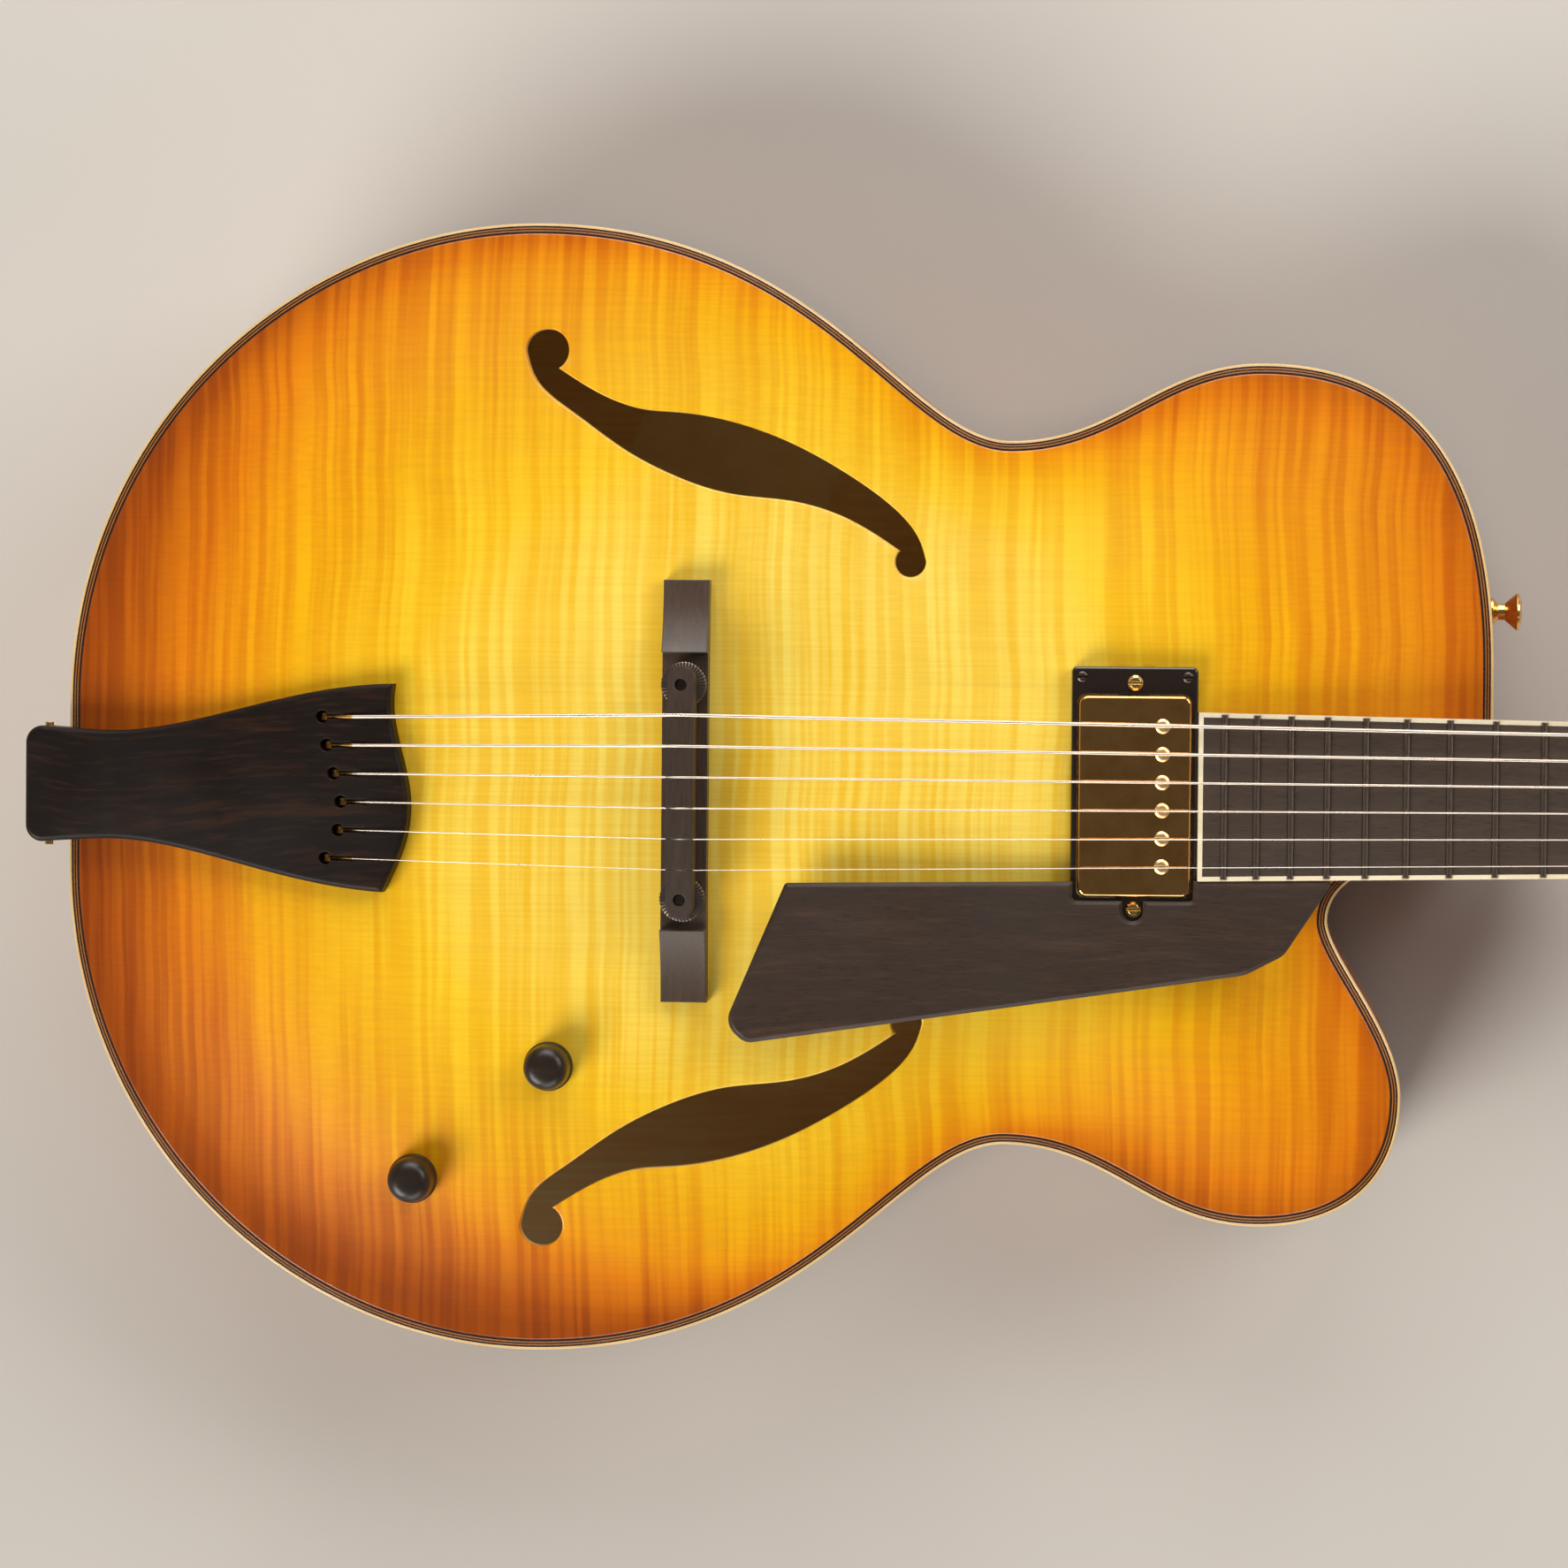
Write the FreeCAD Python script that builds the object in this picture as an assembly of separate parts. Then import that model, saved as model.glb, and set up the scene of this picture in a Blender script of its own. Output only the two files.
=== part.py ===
import FreeCAD, Part
import math
import os

from FreeCAD import Placement, Rotation, Vector

# Archtop guitar with one cutaway, lying on its back, sizes in millimetres.
# While modelling, x runs from the tail edge of the body to the headstock, y to the bass side, z up.
# At the end everything is moved along x so that the middle of the whole length is at x = 0.

# Whole body, and the body the plan was measured on: places on the plan follow the whole body's size
BODY_LENGTH = 505.0
LOWER_BOUT_HALF = 200.0
MEASURED_LENGTH = 505.0
MEASURED_HALF = 200.0


def on_length(x):
    return x * BODY_LENGTH / MEASURED_LENGTH


def on_width(y):
    return y * LOWER_BOUT_HALF / MEASURED_HALF


# Body outline: key points where the edge runs along x or y, and the pull of the curve at each
TAIL_FLAT_HALF = on_width(28.9)
LOWER_BOUT_X = on_length(167.5)
WAIST_X = on_length(335.3)
WAIST_HALF = on_width(124.0)
UPPER_BOUT_X = on_length(423.7)
UPPER_BOUT_HALF = on_width(151.6)
SHOULDER_Y = 44.3
HORN_X = on_length(474.3)
HORN_Y = on_width(-105.5)
THROAT_X = on_length(448.0)
THROAT_Y = -43.5
CUTAWAY_END_X = on_length(470.0)
CUTAWAY_WALL_Y = -25.0
PULL_TAIL = on_width(98.8)
PULL_LOWER_BACK = on_length(86.4)
PULL_LOWER_FRONT = on_length(101.3)
PULL_WAIST_BACK = on_length(36.3)
PULL_WAIST_FRONT = on_length(37.5)
PULL_UPPER_BACK = on_length(37.1)
PULL_UPPER_BASS = on_length(56.3)
PULL_SHOULDER = on_width(67.6)
PULL_UPPER_TREBLE = on_length(30.8)
PULL_HORN_SIDE = on_width(30.0)
PULL_HORN_TIP = on_width(23.0)
PULL_THROAT_OUT = 12.0
PULL_THROAT_IN = 10.0
PULL_CUTAWAY_END = on_length(12.0)
OUTLINE_STEPS = 12
POINT_SPACING = 0.5
EDGE_STEP = 2.0
EDGE_SOFTNESS = 0.01

# Body depth and arching
BACK_ARCH = 17.0
RIM_DEPTH = 80.0
TOP_ARCH = 19.0
ARCH_SOFTNESS = 0.55
PLATE_THICKNESS = 5.0
RIM_BOTTOM = BACK_ARCH
RIM_TOP = RIM_BOTTOM + RIM_DEPTH

# Edge build-up
BINDING_WIDTH = 1.2
PURFLING_WIDTH = 2.4
PURFLING_DEPTH = 1.5
RIB_THICKNESS = 2.4
LINING_WIDTH = 6.0
LINING_HEIGHT = 14.0
LINING_GAP = 0.3
GLUE_GAP = 0.08
PLATE_GAP = 0.15

# Sound holes: two dots joined by an S, bass side values
DOT_LARGE_X = on_length(171.7)
DOT_LARGE_Y = on_width(154.8)
DOT_LARGE_RADIUS = 7.6
DOT_SMALL_X = on_length(301.0)
DOT_SMALL_Y = on_width(81.1)
DOT_SMALL_RADIUS = 5.4
DOT_LARGE_ARC = (-57, 61, 180)
DOT_SMALL_ARC = (135, 247, 360)
SOUND_HOLE_INNER = [(167.3, 145.6), (180.9, 133.3), (199.7, 120.0), (217.4, 110.9),
                    (238.1, 104.5), (258.8, 102.2), (279.5, 95.7)]
SOUND_HOLE_OUTER = [(304.3, 87.8), (292.9, 101.4), (277.3, 112.3), (258.6, 122.4),
                    (237.9, 129.8), (217.2, 133.2), (206.8, 134.0), (191.2, 139.2)]
SOUND_HOLE_INNER = [(on_length(x), on_width(y)) for x, y in SOUND_HOLE_INNER]
SOUND_HOLE_OUTER = [(on_length(x), on_width(y)) for x, y in SOUND_HOLE_OUTER]

# Scale, neck angle and fingerboard
SCALE_LENGTH = 635.0
BRIDGE_X = on_length(223.5)
NECK_ANGLE = 4.4
BOARD_RISE_AT_BRIDGE = 18.5
BOARD_THICKNESS = 6.5
BOARD_RING_GAP = 0.34
BOARD_END_WIDTH = 58.7
NUT_WIDTH = 44.0
NUT_LENGTH = 5.5
NUT_RISE = 1.9
NUT_CROWN = 0.8
NUT_HEAD_GAP = 0.2
BOARD_BINDING = 1.7
FRET_MOST = 24
FRET_EDGE = 4.0
FRET_RADIUS = 1.25
FRET_SINK = 0.15
FRET_END_INSET = 0.5
FRET_GAP = 0.01

# Neck and headstock
NECK_DEPTH_AT_NUT = 14.5
NECK_DEPTH_AT_HEEL = 18.0
NECK_ROUNDNESS = 2.4
HEEL_SECTIONS = [(RIM_TOP + 7.0, 26.3, 52.0), (RIM_BOTTOM + 45.0, 18.0, 27.0), (RIM_BOTTOM + 7.0, 12.0, 15.0)]
HEEL_LAP = 3.0
HEEL_CAP_THICKNESS = 3.0
TENON_LENGTH = 23.0
TENON_HALF = 11.0
TENON_LOW_Z = RIM_BOTTOM + 23.0
TENON_HIGH_Z = RIM_TOP - 7.0
TENON_LAP = 1.0
TONGUE_INSET = 2.2
TONGUE_GAP = 0.3
TONGUE_LAP = 4.0
TONGUE_REACH = 8.0
ROD_RADIUS = 2.5
ROD_DEPTH = 4.0
ROD_INSET = 18.0
ROD_END_GAP = 4.0
ROD_CHANNEL_GAP = 1.0
HEAD_ANGLE = 13.0
HEAD_LENGTH = 184.0
HEAD_THICKNESS = 14.0
HEAD_FLARE_P = 38.0
HEAD_FLARE_HALF = 36.0
HEAD_TIP_HALF = 39.0
HEAD_CORNER_P = 168.0
OVERLAY_THICKNESS = 1.8
HEAD_BEND_P = 20.9
HEAD_BEND_OUT = 4.5
OVERLAY_START_P = 1.0
ROD_COVER_LENGTH = 38.0
ROD_COVER_HALF = 11.0
ROD_COVER_THICKNESS = 2.6
ROD_COVER_START_P = 5.0
ROD_COVER_WAIST = (0.6, 0.75)
ROD_COVER_CORNERS = (2.0, 4.0, 5.0)
ROD_COVER_SCREWS = (0.105, 0.88)

# Tuning machines, three a side
TUNER_FIRST_P = 50.0
TUNER_STEP_P = 42.0
TUNER_ROWS = 3
TUNER_POST_Y = 26.0
POST_RADIUS = 3.0
POST_RISE = 15.0
POST_WAIST_RADIUS = 2.4
POST_WAIST_LOW = 7.5
POST_WAIST_HIGH = 12.0
POST_STEP = 0.8
POST_CAP_RADIUS = 2.1
POST_CAP_RISE = 0.7
RUNNING_CLEARANCE = 0.05
FERRULE_RADIUS = 5.0
FERRULE_FLANGE_RADIUS = 7.5
FERRULE_FLANGE_HEIGHT = 1.2
FERRULE_BEVEL = 1.2
FERRULE_DEPTH = 7.0
HOUSING_LENGTH = 19.0
HOUSING_WIDTH = 15.0
HOUSING_HEIGHT = 10.0
HOUSING_FILLET = 2.5
POST_END_DEPTH = 3.5
WORM_RADIUS = 2.0
WORM_DEPTH = 6.0
WORM_INNER_Y = 4.5
BUTTON_CLEARANCE = 6.0
BUTTON_LENGTH = 15.0
BUTTON_HALF_WIDTH = 10.0
BUTTON_THICKNESS = 6.5
BUTTON_CORNER = 6.8
BUTTON_CHAMFER = 1.8
BUTTON_LAP = 0.6

# Strings, bass to treble
STRING_DIAMETERS = [1.32, 1.07, 0.81, 0.61, 0.41, 0.30]
WOUND_STRINGS = 4
STRING_STEP_BRIDGE = 10.78
STRING_STEP_NUT = 7.3
STRING_NOTCH = 0.4
NOTCH_CLEARANCE = 0.06
BALL_RADIUS = 1.7
BALL_HALF = 1.2
WRAP_ANGLE = 300.0
WRAP_STEPS = 20
CORD_SIDES = 12
SLOT_HEIGHT = 20.0
STRING_BEND = 4.0
WRAP_CLEARANCE = 0.1
BALL_DEPTH = 4.2
SLOT_LIFT = 0.3
SLOT_LIFT_INSET = 1.0
NUT_BREAK = 1.5

# Bridge
BRIDGE_BASE_HALF = 74.0
BRIDGE_BASE_WIDTH = 16.0
BRIDGE_BED_HALF = 48.5
BRIDGE_BED_RISE = 6.4
BRIDGE_SHOULDER_RISE = 4.0
BRIDGE_WING_RISE = 6.0
BRIDGE_WING_DIP_Y = (BRIDGE_BED_HALF + BRIDGE_BASE_HALF) / 2
BRIDGE_WING_DIP = 1.6
WHEEL_LIFT = 2.5
WHEEL_RADIUS = 8.0
WHEEL_THICKNESS = 2.6
WHEEL_KNURLS = 40
WHEEL_KNURL_RADIUS = 0.3
WHEEL_CHAMFER = 0.3
SADDLE_HEIGHT = 12.4
SADDLE_END_DROP = 3.5
SADDLE_HALF = 44.0
SADDLE_WIDTH = 9.5
POST_SPACING_HALF = 37.4
BRIDGE_POST_RADIUS = 2.0
BRIDGE_POST_TOP_GAP = 3.0
BRIDGE_POST_FLOOR = 2.0
SADDLE_END_FLAT = 0.05
SADDLE_POST_CLEARANCE = 0.1
SEAT_GAP = 0.05

# Tailpiece, in its own plane: u runs from its rear end, v to the bass side
TAILPIECE_END_X = -13.5
TAILPIECE_TOP_Z = RIM_TOP + 13.0
TAILPIECE_RISE = 5.3
TAILPIECE_THICKNESS = 7.0
TAILPIECE_BLOCK_LENGTH = 16.0
TAILPIECE_BLOCK_THICKNESS = 11.5
TAILPIECE_END_HALF = 20.6
TAILPIECE_CORNER = 6.0
TAILPIECE_SIDE = [(20.0, 19.6), (32.5, 19.2), (55.5, 22.0), (90.0, 30.3), (115.0, 35.2)]
TAILPIECE_FRONT = [(134.0, 36.7), (133.4, 28.0), (136.5, 12.0), (139.6, -3.0),
                   (138.5, -17.0), (134.6, -28.0), (130.4, -36.7)]
TAILPIECE_FILLET = 1.8
STRING_STEP_TAIL = 9.96
STRING_HOLE_U = [108.9, 110.5, 113.1, 115.7, 114.8, 110.2]
STRING_HOLE_RADIUS = 2.2
STRING_SLOT_WIDTH = 1.7
STRING_SLOT_LENGTH = 10.0
PIN_U = 7.0
PIN_DROP = 6.6
PIN_RADIUS = 1.6
PIN_OVERHANG = 1.2
BARREL_RADIUS = 3.4
BARREL_HALF = 13.0
BARREL_CLEARANCE = 0.5
HANGER_HALF = 16.0
HANGER_THICKNESS = 2.5
HANGER_LOW_Z = RIM_BOTTOM + 23.0
HANGER_ARM_DROP = 3.0
HANGER_ARM_HALF = 1.6
HANGER_ARM_HEIGHT = 3.0
BARREL_ROOM = 6.0

# Output jack in the tail, and the strap button on the bass shoulder
RIM_MIDDLE_Z = RIM_BOTTOM + RIM_DEPTH / 2
JACK_BORE_RADIUS = 3.25
JACK_BORE_LENGTH = 30.0
JACK_BARREL_RADIUS = 6.0
JACK_LENGTH = 42.0
JACK_FLANGE_RADIUS = 8.5
JACK_FLANGE = 4.0
JACK_FLANGE_TAPER = 2.0
HOLE_CLEARANCE = 0.3
STRAP_Y = 65.5
STRAP_LENGTH = 11.0
STRAP_PROFILE = [(5.0, 0.0), (5.0, 0.073), (3.0, 0.236), (3.0, 0.45), (6.2, 0.78), (6.8, 0.84), (6.4, 0.92),
                 (4.08, 0.99)]
STRAP_SCREW_RADIUS = 1.9
STRAP_SCREW_LENGTH = 18.0

# Pickup, in a plane parallel to the fingerboard
PICKUP_X = on_length(380.5)
RING_LENGTH = 44.0
RING_HALF = 45.0
RING_CORNER = 2.0
RING_FILLET = 1.0
COVER_PLAN_LENGTH = 39.0
COVER_PLAN_WIDTH = 70.0
COVER_RISE = 3.4
COVER_DEPTH = 12.0
COVER_WALL = 0.8
COVER_CORNER = 3.0
COVER_EDGE_FILLET = 1.2
COVER_GAP = 0.5
POLE_OFFSET = 9.5
POLE_STEP = 9.76
POLE_HEAD_RADIUS = 2.6
POLE_RISE = 1.0
POLE_SHANK_RADIUS = 1.5
SLOT_WIDTH = 0.9
SLOT_DEPTH = 0.8
COIL_WIDTH = 17.0
COIL_LENGTH = 66.0
COIL_HEIGHT = 9.5
PLATE_METAL = 1.5
PLATE_INSET = 0.2
PLATE_CORNER = 2.0
MAGNET_INSET = 4.0
COIL_END_FLAT = 0.5
EAR_REACH = 43.5
EAR_HALF = 5.5
HEIGHT_SCREW_Y = 39.4
HEIGHT_SCREW_RADIUS = 1.3
HEIGHT_HEAD_RADIUS = 2.7
HEIGHT_HEAD_RISE = 1.6
HEIGHT_SCREW_TAIL = 3.0
SCREW_CLEARANCE = 0.15
SPRING_RADIUS = 2.3
SPRING_TOP_GAP = 0.45
RING_SCREW_RADIUS = 1.9
RING_SHANK_RADIUS = 1.045
RING_SCREW_X = 18.4
RING_SCREW_Y = 41.4
RING_SCREW_RISE = 0.8
RING_SCREW_LENGTH = 10.0
ROD_COVER_SCREW_DEPTH = 4.0
HOLE_BOTTOM_GAP = 4.0
SCREW_DOME = ((1.0, 0.45), (0.7, 0.9))

# Controls
KNOB_PLACES = [(on_length(175.5), on_width(-97.5)), (on_length(126.5), on_width(-138.5))]
KNOB_RADIUS = 8.7
KNOB_HEIGHT = 13.5
KNOB_GAP = 0.8
KNOB_RECESS_RADIUS = 6.6
KNOB_SKIRT = ((0.4, 0.0), (0.0, 0.5), (0.0, 2.2), (0.5, 2.8))
KNOB_DOME = ((0.8, 0.62), (1.3, 0.76), (2.4, 0.87), (4.4, 0.95))
SHAFT_RADIUS = 3.0
SHAFT_TOP_WALL = 3.0
BUSHING_RADIUS = 4.7
BUSHING_RISE = 4.0
POT_RADIUS = 12.0
POT_HEIGHT = 9.0
SHAFT_DEPTH = 5.0

# Pickguard, in the fingerboard plane: plan points around it, treble side
GUARD_DROP = 0.5
GUARD_THICKNESS = 2.8
GUARD_FILLET = 1.3
GUARD_OUTLINE = [(260.0, -31.2, 1.5), (239.3, -80.6, 7.0), (246.5, -87.2, 6.0), (419.5, -62.0, 14.0),
                 (433.0, -55.0, 8.0), (450.4, -28.6, 1.5)]
GUARD_OUTLINE = [(on_length(x), y, radius) for x, y, radius in GUARD_OUTLINE]
GUARD_NOTCH = 1.4
GUARD_NOTCH_CORNER = 1.5
GUARD_BOARD_GAP = 0.3
GUARD_RING_GAP = 1.0314
GUARD_SLOT_FLAT = 0.1
GUARD_SLOT_HALF = 3.6
GUARD_SLOT_Y = -43.4
GUARD_BLOCK_X = on_length(300.0)
GUARD_BLOCK_Y = -56.0
GUARD_BLOCK_LENGTH = 22.0
GUARD_BLOCK_WIDTH = 12.0

# Inner work and the label
BLOCK_LENGTH = 52.0
BLOCK_BASS_Y = 80.0
TAIL_BLOCK_LENGTH = 34.0
TAIL_BLOCK_HALF = 38.0
TONE_BAR_Y = 30.0
TONE_BAR_START_X = on_length(75.0)
TONE_BAR_END_X = on_length(345.0)
TONE_BAR_SPLAY = 0.04
TONE_BAR_WIDTH = 7.0
TONE_BAR_HEIGHT = 12.0
LABEL_X = on_length(230.0)
LABEL_Y = on_width(119.0)
LABEL_LENGTH = 76.0
LABEL_WIDTH = 50.0
LABEL_TURN = -21.0
LABEL_THICKNESS = 0.3

# Grid for the arched surfaces
GRID_X = 42
GRID_Y = 36
MARGIN = 14.0
FAR = 90.0
BELOW_PLATE = RIM_TOP - FAR / 2
ABOVE_PLATE = RIM_TOP + FAR / 2

Y_AXIS = Vector(0, 1, 0)
Z_AXIS = Vector(0, 0, 1)
EAST = (1.0, 0.0)
WEST = (-1.0, 0.0)
NORTH = (0.0, 1.0)
SOUTH = (0.0, -1.0)


def cubic(start, start_way, start_pull, end, end_way, end_pull):
    """Points and headings along a cubic that leaves and arrives in the given directions."""
    a = start
    b = (start[0] + start_way[0] * start_pull, start[1] + start_way[1] * start_pull)
    c = (end[0] - end_way[0] * end_pull, end[1] - end_way[1] * end_pull)
    d = end
    row = []
    for step in range(OUTLINE_STEPS):
        t = step / OUTLINE_STEPS
        m = 1 - t
        point = [m ** 3 * a[k] + 3 * m * m * t * b[k] + 3 * m * t * t * c[k] + t ** 3 * d[k] for k in (0, 1)]
        heading = [m * m * (b[k] - a[k]) + 2 * m * t * (c[k] - b[k]) + t * t * (d[k] - c[k]) for k in (0, 1)]
        size = math.hypot(heading[0], heading[1])
        row.append((point[0], point[1], heading[0] / size, heading[1] / size))
    return row


def body_path():
    """The body edge from the bass shoulder round the tail to the cutaway wall, inside on the left."""
    lower = (LOWER_BOUT_X, LOWER_BOUT_HALF)
    waist = (WAIST_X, WAIST_HALF)
    upper = (UPPER_BOUT_X, UPPER_BOUT_HALF)
    lower_t = (LOWER_BOUT_X, -LOWER_BOUT_HALF)
    waist_t = (WAIST_X, -WAIST_HALF)
    upper_t = (UPPER_BOUT_X, -UPPER_BOUT_HALF)
    horn = (HORN_X, HORN_Y)
    throat = (THROAT_X, THROAT_Y)
    wall = (CUTAWAY_END_X, CUTAWAY_WALL_Y)
    path = cubic((BODY_LENGTH, SHOULDER_Y), NORTH, PULL_SHOULDER, upper, WEST, PULL_UPPER_BASS)
    path += cubic(upper, WEST, PULL_UPPER_BACK, waist, WEST, PULL_WAIST_FRONT)
    path += cubic(waist, WEST, PULL_WAIST_BACK, lower, WEST, PULL_LOWER_FRONT)
    path += cubic(lower, WEST, PULL_LOWER_BACK, (0.0, TAIL_FLAT_HALF), SOUTH, PULL_TAIL)
    path += [(0.0, TAIL_FLAT_HALF * k / 2, 0.0, -1.0) for k in (2, 1, 0, -1)]
    path += cubic((0.0, -TAIL_FLAT_HALF), SOUTH, PULL_TAIL, lower_t, EAST, PULL_LOWER_BACK)
    path += cubic(lower_t, EAST, PULL_LOWER_FRONT, waist_t, EAST, PULL_WAIST_BACK)
    path += cubic(waist_t, EAST, PULL_WAIST_FRONT, upper_t, EAST, PULL_UPPER_BACK)
    path += cubic(upper_t, EAST, PULL_UPPER_TREBLE, horn, NORTH, PULL_HORN_SIDE)
    path += cubic(horn, NORTH, PULL_HORN_TIP, throat, NORTH, PULL_THROAT_OUT)
    path += cubic(throat, NORTH, PULL_THROAT_IN, wall, EAST, PULL_CUTAWAY_END)
    path.append((CUTAWAY_END_X, CUTAWAY_WALL_Y, 1.0, 0.0))
    return path


BODY_PATH = body_path()


def outline_wire(inset, z):
    """The body edge moved inwards by inset, as one smooth curve and two straight sides at the neck."""
    points = []
    last = None
    for x, y, hx, hy in BODY_PATH:
        point = Vector(x - hy * inset, y + hx * inset, z)
        if last is None or point.distanceToPoint(last) > POINT_SPACING:
            points.append(point)
            last = point
    curve = Part.BSplineCurve()
    start_way = Vector(*NORTH, 0)
    end_way = Vector(*EAST, 0)
    curve.interpolate(Points=points, InitialTangent=start_way, FinalTangent=end_way, Scale=False)
    corner = Vector(BODY_LENGTH - inset, CUTAWAY_WALL_Y + inset, z)
    side = Part.makeLine(points[-1], corner)
    end = Part.makeLine(corner, points[0])
    return Part.Wire([curve.toShape(), side, end])


def outline_prism(inset, low, high):
    return Part.Face(outline_wire(inset, low)).extrude(Vector(0, 0, high - low))


def ring(outer_inset, inner_inset, low, high):
    """Upright band between two insets of the body edge."""
    edges = [outline_wire(outer_inset, low), outline_wire(inner_inset, low)]
    band = Part.makeFace(edges, "Part::FaceMakerBullseye")
    return band.extrude(Vector(0, 0, high - low))


def edge_points():
    """Closely spaced points all round the body with the length of edge each stands for."""
    corner = [(x, y) for x, y, hx, hy in BODY_PATH]
    corner += [(BODY_LENGTH, CUTAWAY_WALL_Y), (BODY_LENGTH, SHOULDER_Y)]
    row = []
    for (x0, y0), (x1, y1) in zip(corner[:-1], corner[1:]):
        length = math.hypot(x1 - x0, y1 - y0)
        count = max(1, int(length / EDGE_STEP))
        for k in range(count):
            t = (k + 0.5) / count
            row.append((x0 + (x1 - x0) * t, y0 + (y1 - y0) * t, length / count))
    return row


EDGE_POINTS = edge_points()


def soft_distance(x, y):
    """A smooth measure of the distance from the body edge, with no crease in the middle."""
    total = 0.0
    for ex, ey, length in EDGE_POINTS:
        square = (x - ex) ** 2 + (y - ey) ** 2 + EDGE_SOFTNESS
        total += length / (square * square)
    return total ** (-1.0 / 3.0)


FULL_DISTANCE = max(soft_distance(on_length(x), 0.0) for x in range(150, 260, 10))


def arch_share(x, y):
    """Share of the full arch height: flat at the edge, then rising, then level in the middle."""
    t = soft_distance(x, y) / FULL_DISTANCE / ARCH_SOFTNESS
    return (1 - math.exp(-t * t)) / (1 - math.exp(-1 / ARCH_SOFTNESS ** 2))


def top_z(x, y):
    return RIM_TOP + TOP_ARCH * arch_share(x, y)


def arched_face():
    """The arch as a surface of unit-free height 0 to 1 over the whole body, for both plates."""
    xs = [-MARGIN + (BODY_LENGTH + 2 * MARGIN) * i / (GRID_X - 1) for i in range(GRID_X)]
    span = LOWER_BOUT_HALF + MARGIN
    ys = [-span + 2 * span * j / (GRID_Y - 1) for j in range(GRID_Y)]
    return xs, ys, [[arch_share(x, y) for y in ys] for x in xs]


ARCH_X, ARCH_Y, ARCH_GRID = arched_face()


def surface(base, height):
    """Arched face at the given rim height, height negative for the back."""
    surf = Part.BSplineSurface()
    rows = []
    for x, row in zip(ARCH_X, ARCH_GRID):
        rows.append([Vector(x, y, base + height * share) for y, share in zip(ARCH_Y, row)])
    surf.interpolate(rows)
    return surf.toShape()


TOP_FACE = surface(RIM_TOP, TOP_ARCH)
BACK_FACE = surface(RIM_BOTTOM, -BACK_ARCH)


def beside(face, shift, depth):
    """Solid between the face moved by shift and the same face a further depth on, along z."""
    moved = face.copy()
    moved.translate(Vector(0, 0, shift))
    return moved.extrude(Vector(0, 0, depth))


ABOVE_TOP_INSIDE = beside(TOP_FACE, -PLATE_THICKNESS - PLATE_GAP, FAR)
BELOW_TOP = beside(TOP_FACE, PLATE_GAP, -FAR)
BELOW_BACK_INSIDE = beside(BACK_FACE, PLATE_THICKNESS + PLATE_GAP, -FAR)

TO_SLOPE = 1 / math.cos(math.radians(NECK_ANGLE))
BODY_END_S = (BODY_LENGTH - BRIDGE_X) * TO_SLOPE
BOARD_END_S = (PICKUP_X - BRIDGE_X) * TO_SLOPE + RING_LENGTH / 2 + BOARD_RING_GAP
ROD_START_S = BODY_END_S + ROD_INSET
FRET_PLACES = [SCALE_LENGTH * 2 ** (-number / 12) for number in range(1, FRET_MOST + 1)]
FRET_PLACES = [s for s in FRET_PLACES if s > BOARD_END_S + FRET_EDGE]
STRING_MIDDLE = (len(STRING_DIAMETERS) - 1) / 2
BOARD_Z_AT_BRIDGE = top_z(BRIDGE_X, 0.0) + BOARD_RISE_AT_BRIDGE
NECK_FRAME = Placement(Vector(BRIDGE_X, 0, BOARD_Z_AT_BRIDGE), Rotation(Y_AXIS, NECK_ANGLE))
NECK_FALL = (PICKUP_X - BRIDGE_X) * math.tan(math.radians(NECK_ANGLE))
RING_DROP = GUARD_DROP + GUARD_THICKNESS + GUARD_RING_GAP
RING_TOP_Z = BOARD_Z_AT_BRIDGE - NECK_FALL - RING_DROP * TO_SLOPE
HEAD_START_S = SCALE_LENGTH + NUT_LENGTH
HEAD_FRAME = NECK_FRAME.multiply(
    Placement(Vector(HEAD_START_S, 0, -BOARD_THICKNESS - OVERLAY_THICKNESS), Rotation(Y_AXIS, HEAD_ANGLE)))
PICKUP_FRAME = Placement(Vector(PICKUP_X, 0, RING_TOP_Z), Rotation(Y_AXIS, NECK_ANGLE))
TAIL_FRAME = Placement(Vector(TAILPIECE_END_X, 0, TAILPIECE_TOP_Z), Rotation(Y_AXIS, -TAILPIECE_RISE))


def put(frame, shape):
    return shape.transformed(frame.toMatrix(), copy=True)


def box(x0, x1, y0, y1, z0, z1):
    return Part.makeBox(x1 - x0, y1 - y0, z1 - z0, Vector(x0, y0, z0))


def rod(radius, start, end):
    way = end - start
    return Part.makeCylinder(radius, way.Length, start, way)


def upright(radius, x, y, low=-FAR, high=FAR):
    """Round rod parallel to z."""
    return rod(radius, Vector(x, y, low), Vector(x, y, high))


def prism(points, low, high):
    """Upright prism over a closed plan of straight sides."""
    corner = [Vector(p[0], p[1], low) for p in points]
    wire = Part.makePolygon(corner + [corner[0]])
    return Part.Face(wire).extrude(Vector(0, 0, high - low))


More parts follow.
